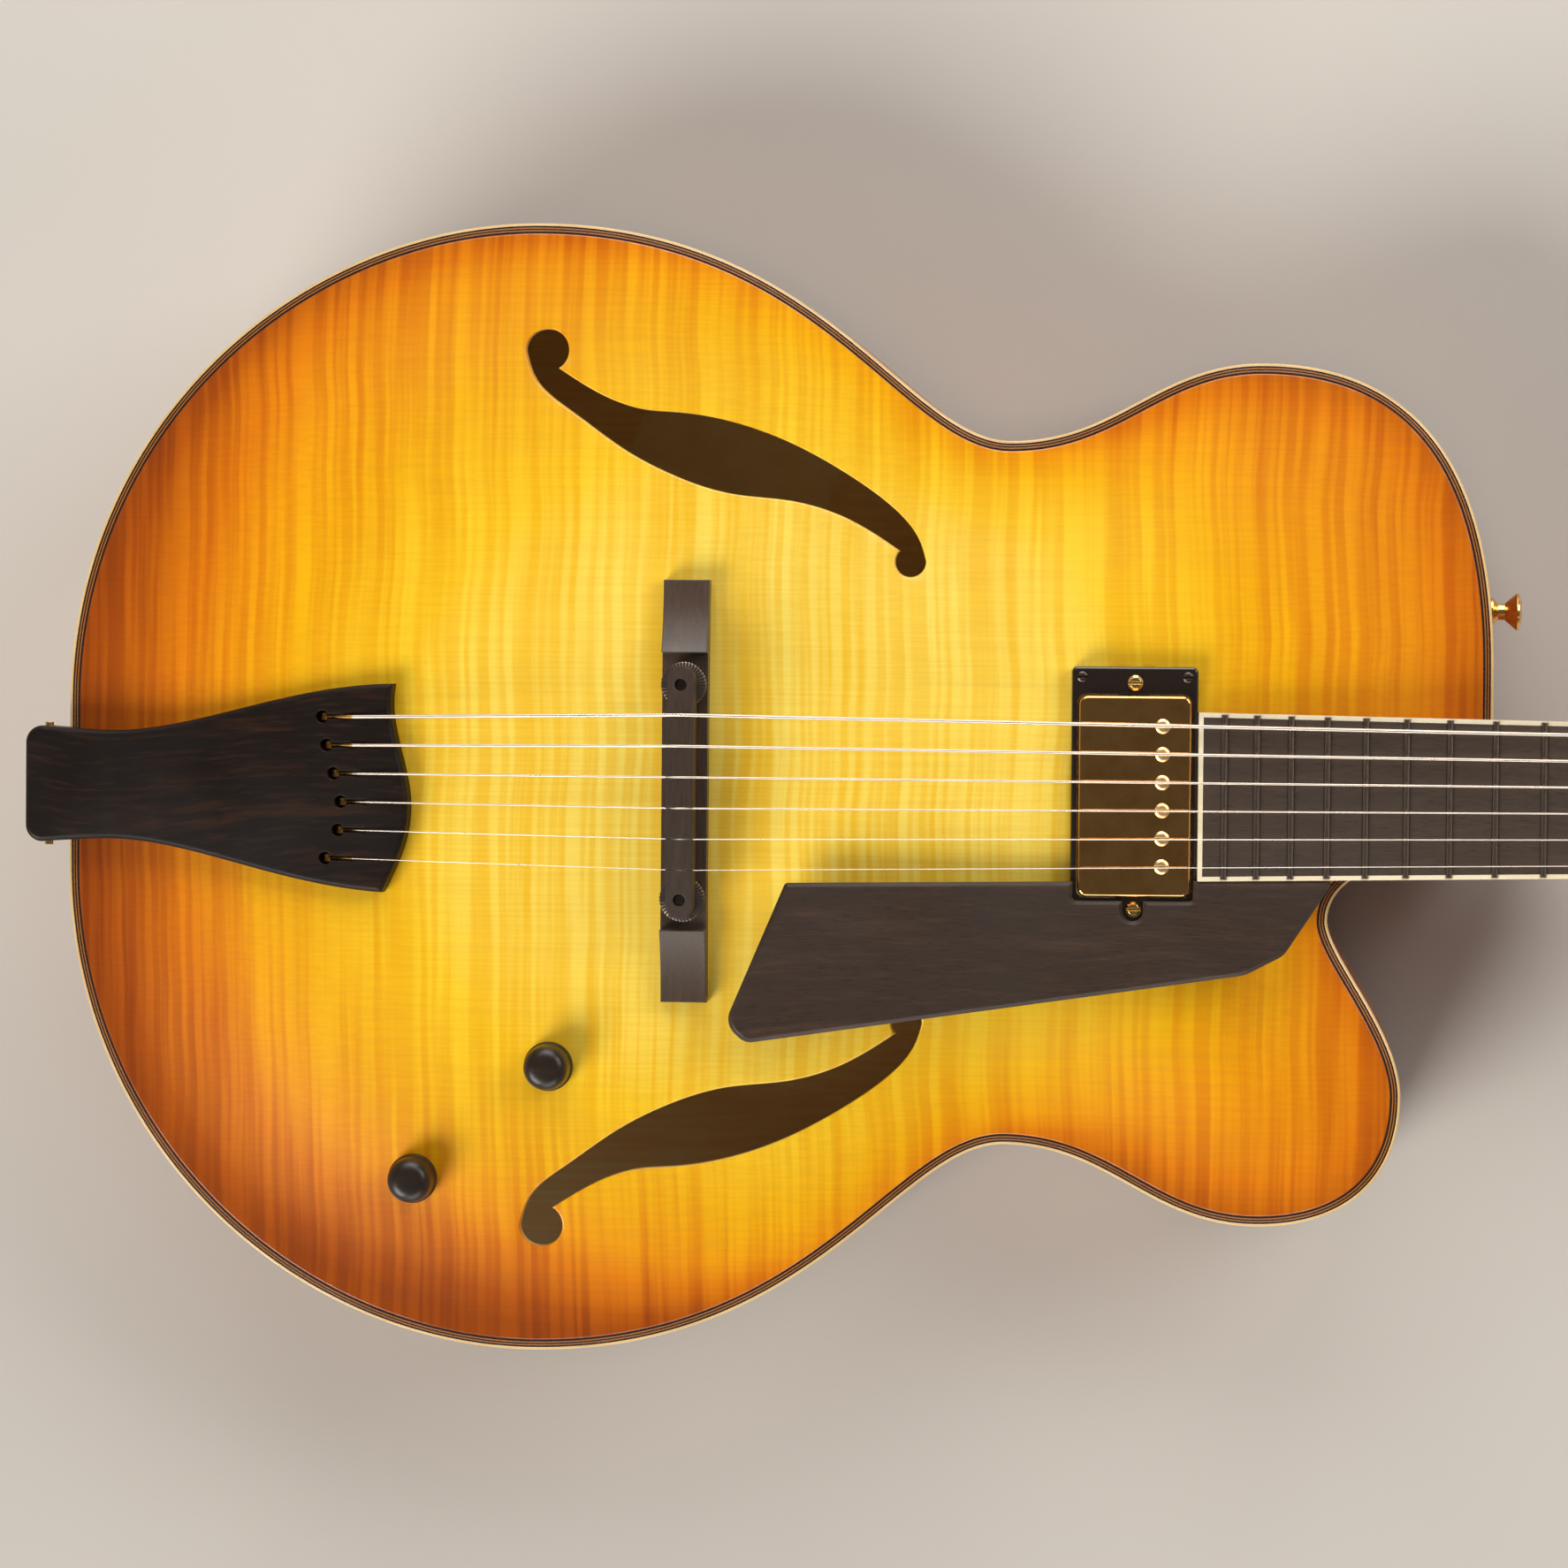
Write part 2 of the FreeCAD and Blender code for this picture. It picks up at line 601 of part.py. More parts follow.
def rounded_plan(points, z):
    """Closed plan with each corner rounded; every point is x, y, radius."""
    edges = []
    ends = []
    count = len(points)
    for k in range(count):
        here = Vector(points[k][0], points[k][1], z)
        before = Vector(points[k - 1][0], points[k - 1][1], z) - here
        after = Vector(points[(k + 1) % count][0], points[(k + 1) % count][1], z) - here
        before.normalize()
        after.normalize()
        half = before.getAngle(after) / 2
        radius = points[k][2]
        reach = radius / math.tan(half)
        middle = before + after
        middle.normalize()
        bulge = here + middle * (radius / math.sin(half) - radius)
        ends.append((here + before * reach, bulge, here + after * reach))
    for k in range(count):
        first, bulge, second = ends[k]
        edges.append(Part.Arc(first, bulge, second).toShape())
        edges.append(Part.makeLine(second, ends[(k + 1) % count][0]))
    return Part.Wire(edges)


def rounded_prism(points, low, high):
    return Part.Face(rounded_plan(points, low)).extrude(Vector(0, 0, high - low))


def plan_box(length, width, corner, low, high):
    a = length / 2
    b = width / 2
    return rounded_prism([(-a, -b, corner), (a, -b, corner), (a, b, corner), (-a, b, corner)], low, high)


def turned(profile, centre):
    """Solid of revolution about the z axis at centre; profile points are radius, height."""
    corner = [Vector(r, 0, h) for r, h in profile]
    wire = Part.makePolygon(corner + [corner[0]])
    shape = Part.Face(wire).revolve(Vector(0, 0, 0), Z_AXIS, 360)
    shape.translate(centre)
    return shape


def edges_at(shape, height):
    """Edges that lie wholly in the level plane at this height."""
    return [e for e in shape.Edges
            if abs(e.BoundBox.ZMin - height) < 0.01 and abs(e.BoundBox.ZMax - height) < 0.01]


def mirrored(shape):
    return shape.mirror(Vector(0, 0, 0), Y_AXIS)


def board_half(s):
    """Half width of the fingerboard at a distance s from the bridge."""
    slope = (BOARD_END_WIDTH - NUT_WIDTH) / (SCALE_LENGTH - BOARD_END_S)
    return (BOARD_END_WIDTH - (s - BOARD_END_S) * slope) / 2


def board_prism(grow, low, high):
    """Upright prism over the fingerboard's plan, grown by the given amount."""
    a = board_half(BOARD_END_S) + grow
    b = board_half(SCALE_LENGTH) + grow
    start = BOARD_END_S - grow
    end = SCALE_LENGTH + grow
    return prism([(start, a), (start, -a), (end, -b), (end, b)], low, high)


def on_dot(x, y, radius, degrees):
    angle = math.radians(degrees)
    return Vector(x + radius * math.cos(angle), y + radius * math.sin(angle), 0)


def sound_hole():
    """Upright cutter for the bass-side sound hole."""
    large = (DOT_LARGE_X, DOT_LARGE_Y, DOT_LARGE_RADIUS)
    small = (DOT_SMALL_X, DOT_SMALL_Y, DOT_SMALL_RADIUS)
    notch_large, round_large, start = [on_dot(*large, angle) for angle in DOT_LARGE_ARC]
    notch_small, round_small, turn_small = [on_dot(*small, angle) for angle in DOT_SMALL_ARC]
    inner = Part.BSplineCurve()
    inner.interpolate(Points=[start] + [Vector(x, y, 0) for x, y in SOUND_HOLE_INNER] + [notch_small])
    outer = Part.BSplineCurve()
    outer.interpolate(Points=[turn_small] + [Vector(x, y, 0) for x, y in SOUND_HOLE_OUTER] + [notch_large])
    end_small = Part.Arc(notch_small, round_small, turn_small)
    end_large = Part.Arc(notch_large, round_large, start)
    wire = Part.Wire([inner.toShape(), end_small.toShape(), outer.toShape(), end_large.toShape()])
    hole = Part.Face(wire).extrude(Vector(0, 0, FAR))
    hole.translate(Vector(0, 0, BELOW_PLATE))
    return hole


def pickup_cutter():
    """Opening in the top for the pickup and the two ears of its base plate."""
    half_x = COVER_PLAN_LENGTH / 2 + COVER_GAP
    half_y = COVER_PLAN_WIDTH / 2 + COVER_GAP
    main = box(-half_x, half_x, -half_y, half_y, -FAR / 2, FAR / 2)
    ears = box(-EAR_HALF - COVER_GAP, EAR_HALF + COVER_GAP, -EAR_REACH - COVER_GAP,
               EAR_REACH + COVER_GAP, -FAR / 2, FAR / 2)
    return put(PICKUP_FRAME, main.fuse(ears))


def block_box(grow):
    """Space of the block that carries the neck."""
    return box(BODY_LENGTH - BLOCK_LENGTH - grow, BODY_LENGTH, CUTAWAY_WALL_Y,
               BLOCK_BASS_Y + grow, 0, RIM_TOP + TOP_ARCH)


def tail_box(grow):
    return box(0, TAIL_BLOCK_LENGTH + grow, -TAIL_BLOCK_HALF - grow, TAIL_BLOCK_HALF + grow,
               0, RIM_TOP + TOP_ARCH)


def inside_block(space):
    """A block filling the space between ribs and plates."""
    shape = space.common(outline_prism(RIB_THICKNESS + GLUE_GAP, 0, RIM_TOP + TOP_ARCH))
    return shape.cut(ABOVE_TOP_INSIDE).cut(BELOW_BACK_INSIDE)


def tenon(grow):
    """Space of the neck's tenon in the body."""
    half = TENON_HALF + grow
    return box(BODY_LENGTH - TENON_LENGTH - grow, BODY_LENGTH + GLUE_GAP + TENON_LAP, -half, half,
               TENON_LOW_Z - grow, TENON_HIGH_Z + grow)


def jack_hole():
    radius = JACK_BARREL_RADIUS + HOLE_CLEARANCE
    return rod(radius, Vector(-MARGIN, 0, RIM_MIDDLE_Z), Vector(FAR, 0, RIM_MIDDLE_Z))


def strap_hole():
    start = Vector(BODY_LENGTH - STRAP_SCREW_LENGTH - HOLE_CLEARANCE, STRAP_Y, RIM_MIDDLE_Z)
    return rod(STRAP_SCREW_RADIUS + GLUE_GAP, start, Vector(BODY_LENGTH + MARGIN, STRAP_Y, RIM_MIDDLE_Z))


NODES = {}


def body_nodes():
    rib_low = RIM_BOTTOM + PLATE_THICKNESS + PLATE_GAP
    rib_high = RIM_TOP - PLATE_THICKNESS - PLATE_GAP
    rib = ring(0, RIB_THICKNESS, rib_low, rib_high)
    rib = rib.cut(tenon(GLUE_GAP)).cut(jack_hole()).cut(strap_hole())
    span = LOWER_BOUT_HALF + MARGIN
    seam = GLUE_GAP / 2
    NODES["bass_rib"] = rib.common(box(-MARGIN, BODY_LENGTH + MARGIN, seam, span, 0, RIM_TOP))
    NODES["treble_rib"] = rib.common(box(-MARGIN, BODY_LENGTH + MARGIN, -span, -seam, 0, RIM_TOP))

    binding_low = RIM_TOP - PLATE_THICKNESS
    NODES["top_binding"] = ring(0, BINDING_WIDTH, binding_low, RIM_TOP)
    NODES["back_binding"] = ring(0, BINDING_WIDTH, RIM_BOTTOM, RIM_BOTTOM + PLATE_THICKNESS)
    inlay_out = BINDING_WIDTH + GLUE_GAP
    inlay_in = inlay_out + PURFLING_WIDTH
    NODES["top_purfling"] = ring(inlay_out, inlay_in, RIM_TOP - PURFLING_DEPTH, RIM_TOP)

    plate = beside(TOP_FACE, -PLATE_THICKNESS, PLATE_THICKNESS)
    plate = plate.common(outline_prism(inlay_out, 0, ABOVE_PLATE))
    plate = plate.cut(ring(0, inlay_in + GLUE_GAP, RIM_TOP - PURFLING_DEPTH - GLUE_GAP, ABOVE_PLATE))
    hole = sound_hole()
    plate = plate.cut(hole).cut(mirrored(hole)).cut(pickup_cutter())
    for x, y in KNOB_PLACES:
        plate = plate.cut(upright(BUSHING_RADIUS + HOLE_CLEARANCE, x, y, BELOW_PLATE, ABOVE_PLATE))
    NODES["top_plate"] = plate

    back = beside(BACK_FACE, 0, PLATE_THICKNESS)
    NODES["back_plate"] = back.common(outline_prism(inlay_out, -MARGIN, RIM_TOP))

    blocks = block_box(GLUE_GAP).fuse(tail_box(GLUE_GAP))
    lining_out = RIB_THICKNESS + LINING_GAP
    lining_in = lining_out + LINING_WIDTH
    lining_high = ring(lining_out, lining_in, rib_high - LINING_HEIGHT, rib_high)
    lining_low = ring(lining_out, lining_in, rib_low, rib_low + LINING_HEIGHT)
    NODES["rim_linings"] = Part.makeCompound([lining_high.cut(blocks), lining_low.cut(blocks)])
    NODES["neck_block"] = inside_block(block_box(0)).cut(tenon(GLUE_GAP)).cut(strap_hole())
    NODES["tail_block"] = inside_block(tail_box(0)).cut(jack_hole())

    bars = []
    for side in (1, -1):
        low_y = side * TONE_BAR_Y
        high_y = side * (TONE_BAR_Y + TONE_BAR_SPLAY * (TONE_BAR_START_X - TONE_BAR_END_X))
        half = TONE_BAR_WIDTH / 2
        plan = [(TONE_BAR_START_X, low_y - half), (TONE_BAR_END_X, high_y - half),
                (TONE_BAR_END_X, high_y + half), (TONE_BAR_START_X, low_y + half)]
        low = beside(TOP_FACE, -PLATE_THICKNESS - PLATE_GAP, -TONE_BAR_HEIGHT)
        bars.append(prism(plan, BELOW_PLATE, ABOVE_PLATE).common(low))
    NODES["tone_bars"] = Part.makeCompound(bars)

    half = LABEL_LENGTH / 2
    paper = box(-half, half, -LABEL_WIDTH / 2, LABEL_WIDTH / 2, 0, RIM_TOP)
    paper = put(Placement(Vector(LABEL_X, LABEL_Y, 0), Rotation(Z_AXIS, LABEL_TURN)), paper)
    NODES["paper_label"] = paper.common(beside(BACK_FACE, PLATE_THICKNESS + GLUE_GAP, LABEL_THICKNESS))


def neck_section(s, depth):
    """Flat top under the board and a round back, across the neck at s."""
    half = board_half(s)
    top = -BOARD_THICKNESS
    points = []
    for k in range(13):
        angle = math.pi * k / 12
        c = math.cos(angle)
        across = math.copysign(abs(c) ** (2 / NECK_ROUNDNESS), c) * half
        down = math.sin(angle) ** (2 / NECK_ROUNDNESS) * depth
        points.append(Vector(s, across, top - down))
    curve = Part.BSplineCurve()
    curve.interpolate(Points=points)
    return Part.Wire([curve.toShape(), Part.makeLine(points[-1], points[0])])


def heel_section(z, half, reach):
    """Level section of the heel: flat against the body and round in front."""
    x0 = BODY_LENGTH + GLUE_GAP
    first = Vector(x0, half, z)
    last = Vector(x0, -half, z)
    points = []
    for k in range(9):
        angle = math.pi * k / 8
        points.append(Vector(x0 + reach * math.sin(angle), half * math.cos(angle), z))
    curve = Part.BSplineCurve()
    curve.interpolate(Points=points)
    return Part.Wire([curve.toShape(), Part.makeLine(last, first)])


def head_plan(start):
    """Plan of the headstock from the nut to its gently curved tip."""
    nut_half = board_half(SCALE_LENGTH)
    first = Vector(start, nut_half, 0)
    flare = Vector(HEAD_FLARE_P, HEAD_FLARE_HALF, 0)
    corner = Vector(HEAD_CORNER_P, HEAD_TIP_HALF, 0)
    tip = Vector(HEAD_LENGTH, 0, 0)
    bend = Vector(HEAD_BEND_P, nut_half + HEAD_BEND_OUT, 0)
    low = [Vector(v.x, -v.y, 0) for v in (first, flare, corner, bend)]
    edges = [Part.Arc(first, bend, flare).toShape(), Part.makeLine(flare, corner),
             Part.Arc(corner, tip, low[2]).toShape(), Part.makeLine(low[2], low[1]),
             Part.Arc(low[1], low[3], low[0]).toShape(), Part.makeLine(low[0], first)]
    return Part.Face(Part.Wire(edges))


def tuner_spots():
    """Post centres on the headstock, in string order from bass to treble."""
    bass = [(TUNER_FIRST_P + TUNER_STEP_P * k, TUNER_POST_Y) for k in range(TUNER_ROWS)]
    treble = [(p, -y) for p, y in reversed(bass)]
    return bass + treble


def tuner_bore(radius):
    shapes = [upright(radius, p, y) for p, y in tuner_spots()]
    return Part.makeCompound(shapes)


def neck_nodes():
    heel_s = BODY_END_S + HEEL_LAP
    tongue_s = heel_s + TONGUE_LAP
    above = put(NECK_FRAME, box(-FAR, HEAD_START_S, -FAR, FAR, -BOARD_THICKNESS, FAR))

    shaft = Part.makeLoft([neck_section(heel_s, NECK_DEPTH_AT_HEEL),
                           neck_section(HEAD_START_S, NECK_DEPTH_AT_NUT)], True, True)
    heel = Part.makeLoft([heel_section(*values) for values in HEEL_SECTIONS], True, False)
    half_a = board_half(BOARD_END_S) - TONGUE_INSET
    half_b = board_half(tongue_s) - TONGUE_INSET
    tongue_start = BOARD_END_S + TONGUE_INSET
    tongue = prism([(tongue_start, half_a), (tongue_start, -half_a), (tongue_s, -half_b), (tongue_s, half_b)],
                   -FAR, -BOARD_THICKNESS)
    room = box(0, BODY_LENGTH + TONGUE_REACH, -FAR, FAR, RIM_TOP + TONGUE_GAP, ABOVE_PLATE)
    tongue = put(NECK_FRAME, tongue).common(room).cut(beside(TOP_FACE, TONGUE_GAP, -FAR))
    head = head_plan(0).extrude(Vector(0, 0, -HEAD_THICKNESS))
    head = put(HEAD_FRAME, head.cut(tuner_bore(FERRULE_RADIUS + GLUE_GAP)))
    neck = put(NECK_FRAME, shaft).fuse(heel).cut(above).fuse([tongue, head])
    neck = neck.fuse(tenon(0))
    rod_h = -BOARD_THICKNESS - ROD_DEPTH
    channel_half = ROD_RADIUS + GLUE_GAP
    channel = box(ROD_START_S - ROD_CHANNEL_GAP, HEAD_START_S, -channel_half, channel_half,
                  rod_h - channel_half, -BOARD_THICKNESS + ROD_CHANNEL_GAP)
    NODES["neck"] = neck.cut(put(NECK_FRAME, channel))
    NODES["truss_rod"] = put(NECK_FRAME, rod(ROD_RADIUS, Vector(ROD_START_S, 0, rod_h),
                                             Vector(HEAD_START_S - ROD_END_GAP, 0, rod_h)))
    z, half, reach = HEEL_SECTIONS[-1]
    cap = Part.Face(heel_section(z - GLUE_GAP, half, reach)).extrude(Vector(0, 0, -HEEL_CAP_THICKNESS))
    NODES["heel_cap"] = cap

    end_b = board_half(SCALE_LENGTH)
    whole = board_prism(0, -BOARD_THICKNESS + GLUE_GAP, 0)
    inner_s = BOARD_END_S + BOARD_BINDING
    in_a = board_half(inner_s) - BOARD_BINDING
    in_b = end_b - BOARD_BINDING

    def core(grow):
        return prism([(inner_s - grow, in_a + grow), (inner_s - grow, -in_a - grow),
                      (SCALE_LENGTH + grow, -in_b - grow), (SCALE_LENGTH + grow, in_b + grow)],
                     -BOARD_THICKNESS - 2 * grow, 2 * grow)

    NODES["fingerboard"] = put(NECK_FRAME, whole.common(core(0)))
    NODES["fingerboard_binding"] = put(NECK_FRAME, whole.cut(core(GLUE_GAP)))

    frets = []
    for s in FRET_PLACES:
        half = board_half(s) - FRET_END_INSET
        wire = rod(FRET_RADIUS, Vector(s, -half, -FRET_SINK), Vector(s, half, -FRET_SINK))
        frets.append(wire.common(box(s - FAR, s + FAR, -FAR, FAR, FRET_GAP, FAR)))
    NODES["frets"] = put(NECK_FRAME, Part.makeCompound(frets))

    nut = box(SCALE_LENGTH + GLUE_GAP, SCALE_LENGTH + NUT_LENGTH - NUT_HEAD_GAP, -end_b, end_b,
              -BOARD_THICKNESS + GLUE_GAP, NUT_RISE + NUT_CROWN)
    NODES["nut"] = put(NECK_FRAME, nut)

    overlay = head_plan(OVERLAY_START_P).extrude(Vector(0, 0, OVERLAY_THICKNESS - GLUE_GAP))
    overlay.translate(Vector(0, 0, GLUE_GAP))
    NODES["headstock_overlay"] = put(HEAD_FRAME, overlay.cut(tuner_bore(FERRULE_RADIUS + GLUE_GAP)))
    square, bend, point = ROD_COVER_CORNERS
    start = ROD_COVER_START_P
    bend_p = start + ROD_COVER_LENGTH * ROD_COVER_WAIST[0]
    bend_half = ROD_COVER_HALF * ROD_COVER_WAIST[1]
    plan = [(start, -ROD_COVER_HALF, square), (start, ROD_COVER_HALF, square), (bend_p, bend_half, bend),
            (start + ROD_COVER_LENGTH, 0, point), (bend_p, -bend_half, bend)]
    low = OVERLAY_THICKNESS + GLUE_GAP
    cover = rounded_prism(plan, low, low + ROD_COVER_THICKNESS)
    NODES["truss_rod_cover"] = put(HEAD_FRAME, cover)


def slotted_screw(radius, rise, shank_radius, length, seat):
    """Low domed screw, its head standing on the plane at height seat, with a straight slot."""
    dome = [(radius * across, rise * up) for across, up in SCREW_DOME]
    head = turned([(0, 0), (radius, 0)] + dome + [(0, rise)], Vector(0, 0, seat))
    shank = Part.makeCylinder(shank_radius, length, Vector(0, 0, seat - length))
    slot = box(-radius, radius, -SLOT_WIDTH / 2, SLOT_WIDTH / 2, seat + rise - SLOT_DEPTH, seat + FAR)
    return head.fuse(shank).cut(slot)


def shifted(shape, x, y, z=0.0):
    moved = shape.copy()
    moved.translate(Vector(x, y, z))
    return moved


def tuner_nodes():
    housings = []
    ferrules = []
    back = -HEAD_THICKNESS
    for number, (p, y) in enumerate(tuner_spots(), start=1):
        side = 1 if y > 0 else -1
        seat = back - GLUE_GAP
        case = box(-HOUSING_LENGTH / 2, HOUSING_LENGTH / 2, -HOUSING_WIDTH / 2, HOUSING_WIDTH / 2,
                   seat - HOUSING_HEIGHT, seat)
        low_edges = edges_at(case, seat - HOUSING_HEIGHT)
        case = case.makeFillet(HOUSING_FILLET, low_edges)
        bore = POST_RADIUS + RUNNING_CLEARANCE
        post_hole = rod(bore, Vector(0, 0, back - POST_END_DEPTH - RUNNING_CLEARANCE), Vector(0, 0, FAR))
        worm_z = back - WORM_DEPTH
        inner_y = -side * WORM_INNER_Y
        button_y = side * (HEAD_TIP_HALF + BUTTON_CLEARANCE - abs(y))
        worm_hole = rod(WORM_RADIUS + RUNNING_CLEARANCE, Vector(0, inner_y, worm_z),
                        Vector(0, side * HOUSING_WIDTH, worm_z))
        case = case.cut(post_hole).cut(worm_hole)
        housings.append(shifted(case, p, y))

        foot = back - POST_END_DEPTH
        cap = POST_RISE + POST_CAP_RISE
        post = turned([(0, foot), (POST_RADIUS, foot), (POST_RADIUS, POST_WAIST_LOW),
                       (POST_WAIST_RADIUS, POST_WAIST_LOW + POST_STEP), (POST_WAIST_RADIUS, POST_WAIST_HIGH),
                       (POST_RADIUS, POST_WAIST_HIGH + POST_STEP), (POST_RADIUS, POST_RISE),
                       (POST_CAP_RADIUS, cap), (0, cap)], Vector(p, y, 0))
        NODES["tuner_post_%d" % number] = put(HEAD_FRAME, post)

        flange = OVERLAY_THICKNESS + GLUE_GAP
        rim = flange + FERRULE_FLANGE_HEIGHT
        low = OVERLAY_THICKNESS - FERRULE_DEPTH
        ferrule = turned([(bore, low), (FERRULE_RADIUS, low), (FERRULE_RADIUS, flange),
                          (FERRULE_FLANGE_RADIUS, flange), (FERRULE_FLANGE_RADIUS, (flange + rim) / 2),
                          (FERRULE_FLANGE_RADIUS - FERRULE_BEVEL, rim), (bore, rim)], Vector(p, y, 0))
        ferrules.append(ferrule)

        worm_start = Vector(0, inner_y + side * RUNNING_CLEARANCE, worm_z)
        worm = rod(WORM_RADIUS, worm_start, Vector(0, button_y, worm_z))
        middle_y = button_y + side * BUTTON_LENGTH / 2
        paddle = plan_box(2 * BUTTON_HALF_WIDTH, BUTTON_LENGTH, BUTTON_CORNER, 0, BUTTON_THICKNESS)
        paddle = paddle.makeChamfer(BUTTON_CHAMFER, edges_at(paddle, 0) + edges_at(paddle, BUTTON_THICKNESS))
        paddle = shifted(paddle, 0, middle_y - side * BUTTON_LAP, worm_z - BUTTON_THICKNESS / 2)
        NODES["tuner_button_%d" % number] = put(HEAD_FRAME, shifted(worm.fuse(paddle), p, y))
    NODES["tuner_housings"] = put(HEAD_FRAME, Part.makeCompound(housings))
    NODES["tuner_ferrules"] = put(HEAD_FRAME, Part.makeCompound(ferrules))


BED_Z = top_z(BRIDGE_X, 0.0) + BRIDGE_BED_RISE
WHEEL_LOW_Z = BED_Z + WHEEL_LIFT
SADDLE_LOW_Z = WHEEL_LOW_Z + WHEEL_THICKNESS + SEAT_GAP
SADDLE_CROWN_Z = SADDLE_LOW_Z + SADDLE_HEIGHT


def crown_z(y):
    """Height of the saddle's curved top edge."""
    return SADDLE_CROWN_Z - SADDLE_END_DROP * (y / SADDLE_HALF) ** 2


def string_routes():
    """Centre line points of each string from the tailpiece to its tuner post."""
    rows = []
    spots = tuner_spots()
    slope = math.tan(math.radians(TAILPIECE_RISE))
    for k, diameter in enumerate(STRING_DIAMETERS):
        radius = diameter / 2
        y_tail = (STRING_MIDDLE - k) * STRING_STEP_TAIL
        y_bridge = (STRING_MIDDLE - k) * STRING_STEP_BRIDGE
        y_nut = (STRING_MIDDLE - k) * STRING_STEP_NUT
        hole_x = TAILPIECE_END_X + STRING_HOLE_U[k] * math.cos(math.radians(TAILPIECE_RISE))
        surface_z = TAILPIECE_TOP_Z + (hole_x - TAILPIECE_END_X) * slope
        ball = TAIL_FRAME.multVec(Vector(STRING_HOLE_U[k], y_tail, -BALL_DEPTH))
        lift_x = hole_x + STRING_SLOT_LENGTH - SLOT_LIFT_INSET
        lift = Vector(lift_x, y_tail, surface_z + STRING_SLOT_LENGTH * slope + radius + SLOT_LIFT)
        saddle = Vector(BRIDGE_X, y_bridge, crown_z(y_bridge) - STRING_NOTCH + radius)
        nut = NECK_FRAME.multVec(Vector(SCALE_LENGTH + NUT_BREAK, y_nut, NUT_RISE - STRING_NOTCH + radius))
        rows.append((radius, [ball, lift, saddle, nut], spots[k]))
    return rows


def post_turn(radius, nut, spot):
    """Where the string meets its post, and the middle and axis of its turn round it."""
    start = HEAD_FRAME.inverse().multVec(nut)
    side = 1 if spot[1] > 0 else -1
    reach = POST_WAIST_RADIUS + WRAP_CLEARANCE + radius
    ahead = spot[0] - start.x
    aside = spot[1] - start.y
    heading = math.atan2(aside, ahead) - side * math.asin(reach / math.hypot(ahead, aside))
    first = heading - side * math.pi / 2
    meeting = Vector(spot[0] + reach * math.cos(first), spot[1] + reach * math.sin(first), start.z)
    centre = Vector(spot[0], spot[1], start.z)
    axis = HEAD_FRAME.Rotation.multVec(Vector(0, 0, side))
    return HEAD_FRAME.multVec(meeting), HEAD_FRAME.multVec(centre), axis


def disc(radius, centre, way):
    return Part.Face(Part.Wire([Part.makeCircle(radius, centre, way)]))


def tube(radius, points, turn):
    """Round cord along straight runs joined by bends, then round its post."""
    meeting, centre, axis = turn
    start = points[0]
    route = points + [meeting]
    pieces = []
    for before, here, after in zip(route[:-2], route[1:-1], route[2:]):
        way_in = (here - before).normalize()
        way_out = (after - here).normalize()
        bend = way_in.getAngle(way_out)
        reach = STRING_BEND * math.tan(bend / 2)
        first = here - way_in * reach
        inwards = (way_out - way_in).normalize()
        bend_centre = here + inwards * (STRING_BEND / math.cos(bend / 2))
        pieces.append(rod(radius, start, first))
        axis_here = way_in.cross(way_out)
        pieces.append(disc(radius, first, way_in).revolve(bend_centre, axis_here, math.degrees(bend)))
        start = here + way_out * reach
    pieces.append(rod(radius, start, meeting))
    pieces.append(disc(radius, meeting, meeting - start).revolve(centre, axis, WRAP_ANGLE))
    return pieces[0].fuse(pieces[1:])


def faceted_cord(radius, points, turn):
    """Thin cord with flat sides along straight runs, mitred where they meet, then round its post."""
    meeting, centre, axis = turn
    step = WRAP_ANGLE / WRAP_STEPS
    wrap = [Rotation(axis, step * k).multVec(meeting - centre) + centre for k in range(WRAP_STEPS + 1)]
    route = points + wrap
    ways = [(b - a).normalize() for a, b in zip(route[:-1], route[1:])]
    aside = ways[0].cross(Z_AXIS).normalize()
    aloft = aside.cross(ways[0])
    corners = [2 * math.pi * k / CORD_SIDES for k in range(CORD_SIDES)]
    rings = [[route[0] + aside * (radius * math.cos(t)) + aloft * (radius * math.sin(t)) for t in corners]]
    for here, way, after in zip(route[1:], ways, ways[1:] + ways[-1:]):
        mitre = (way + after).normalize()
        rings.append([p + way * ((here - p).dot(mitre) / way.dot(mitre)) for p in rings[-1]])
    faces = [Part.Face(Part.makePolygon(ring + ring[:1])) for ring in (rings[0], rings[-1])]
    for ring, after in zip(rings[:-1], rings[1:]):
        for k in range(CORD_SIDES):
            n = (k + 1) % CORD_SIDES
            faces.append(Part.Face(Part.makePolygon([ring[k], ring[n], after[n], after[k], ring[k]])))
    cord = Part.Solid(Part.Shell(faces))
    if cord.Volume < 0:
        cord.reverse()
    return cord


def open_slots(half, points):
    """Upright slots above the straight runs of a string, so that what holds it is open at the top."""
    slots = []
    for a, b in zip(points[:-1], points[1:]):
        way = (b - a).normalize()
        start = a - way * half
        end = b + way * half
        aside = way.cross(Z_AXIS).normalize() * half
        rise = Z_AXIS * SLOT_HEIGHT
        side = Part.makePolygon([start, end, end + rise, start + rise, start])
        sheet = Part.Face(side)
        sheet.translate(aside * -1)
        slots.append(sheet.extrude(aside * 2))
    return slots


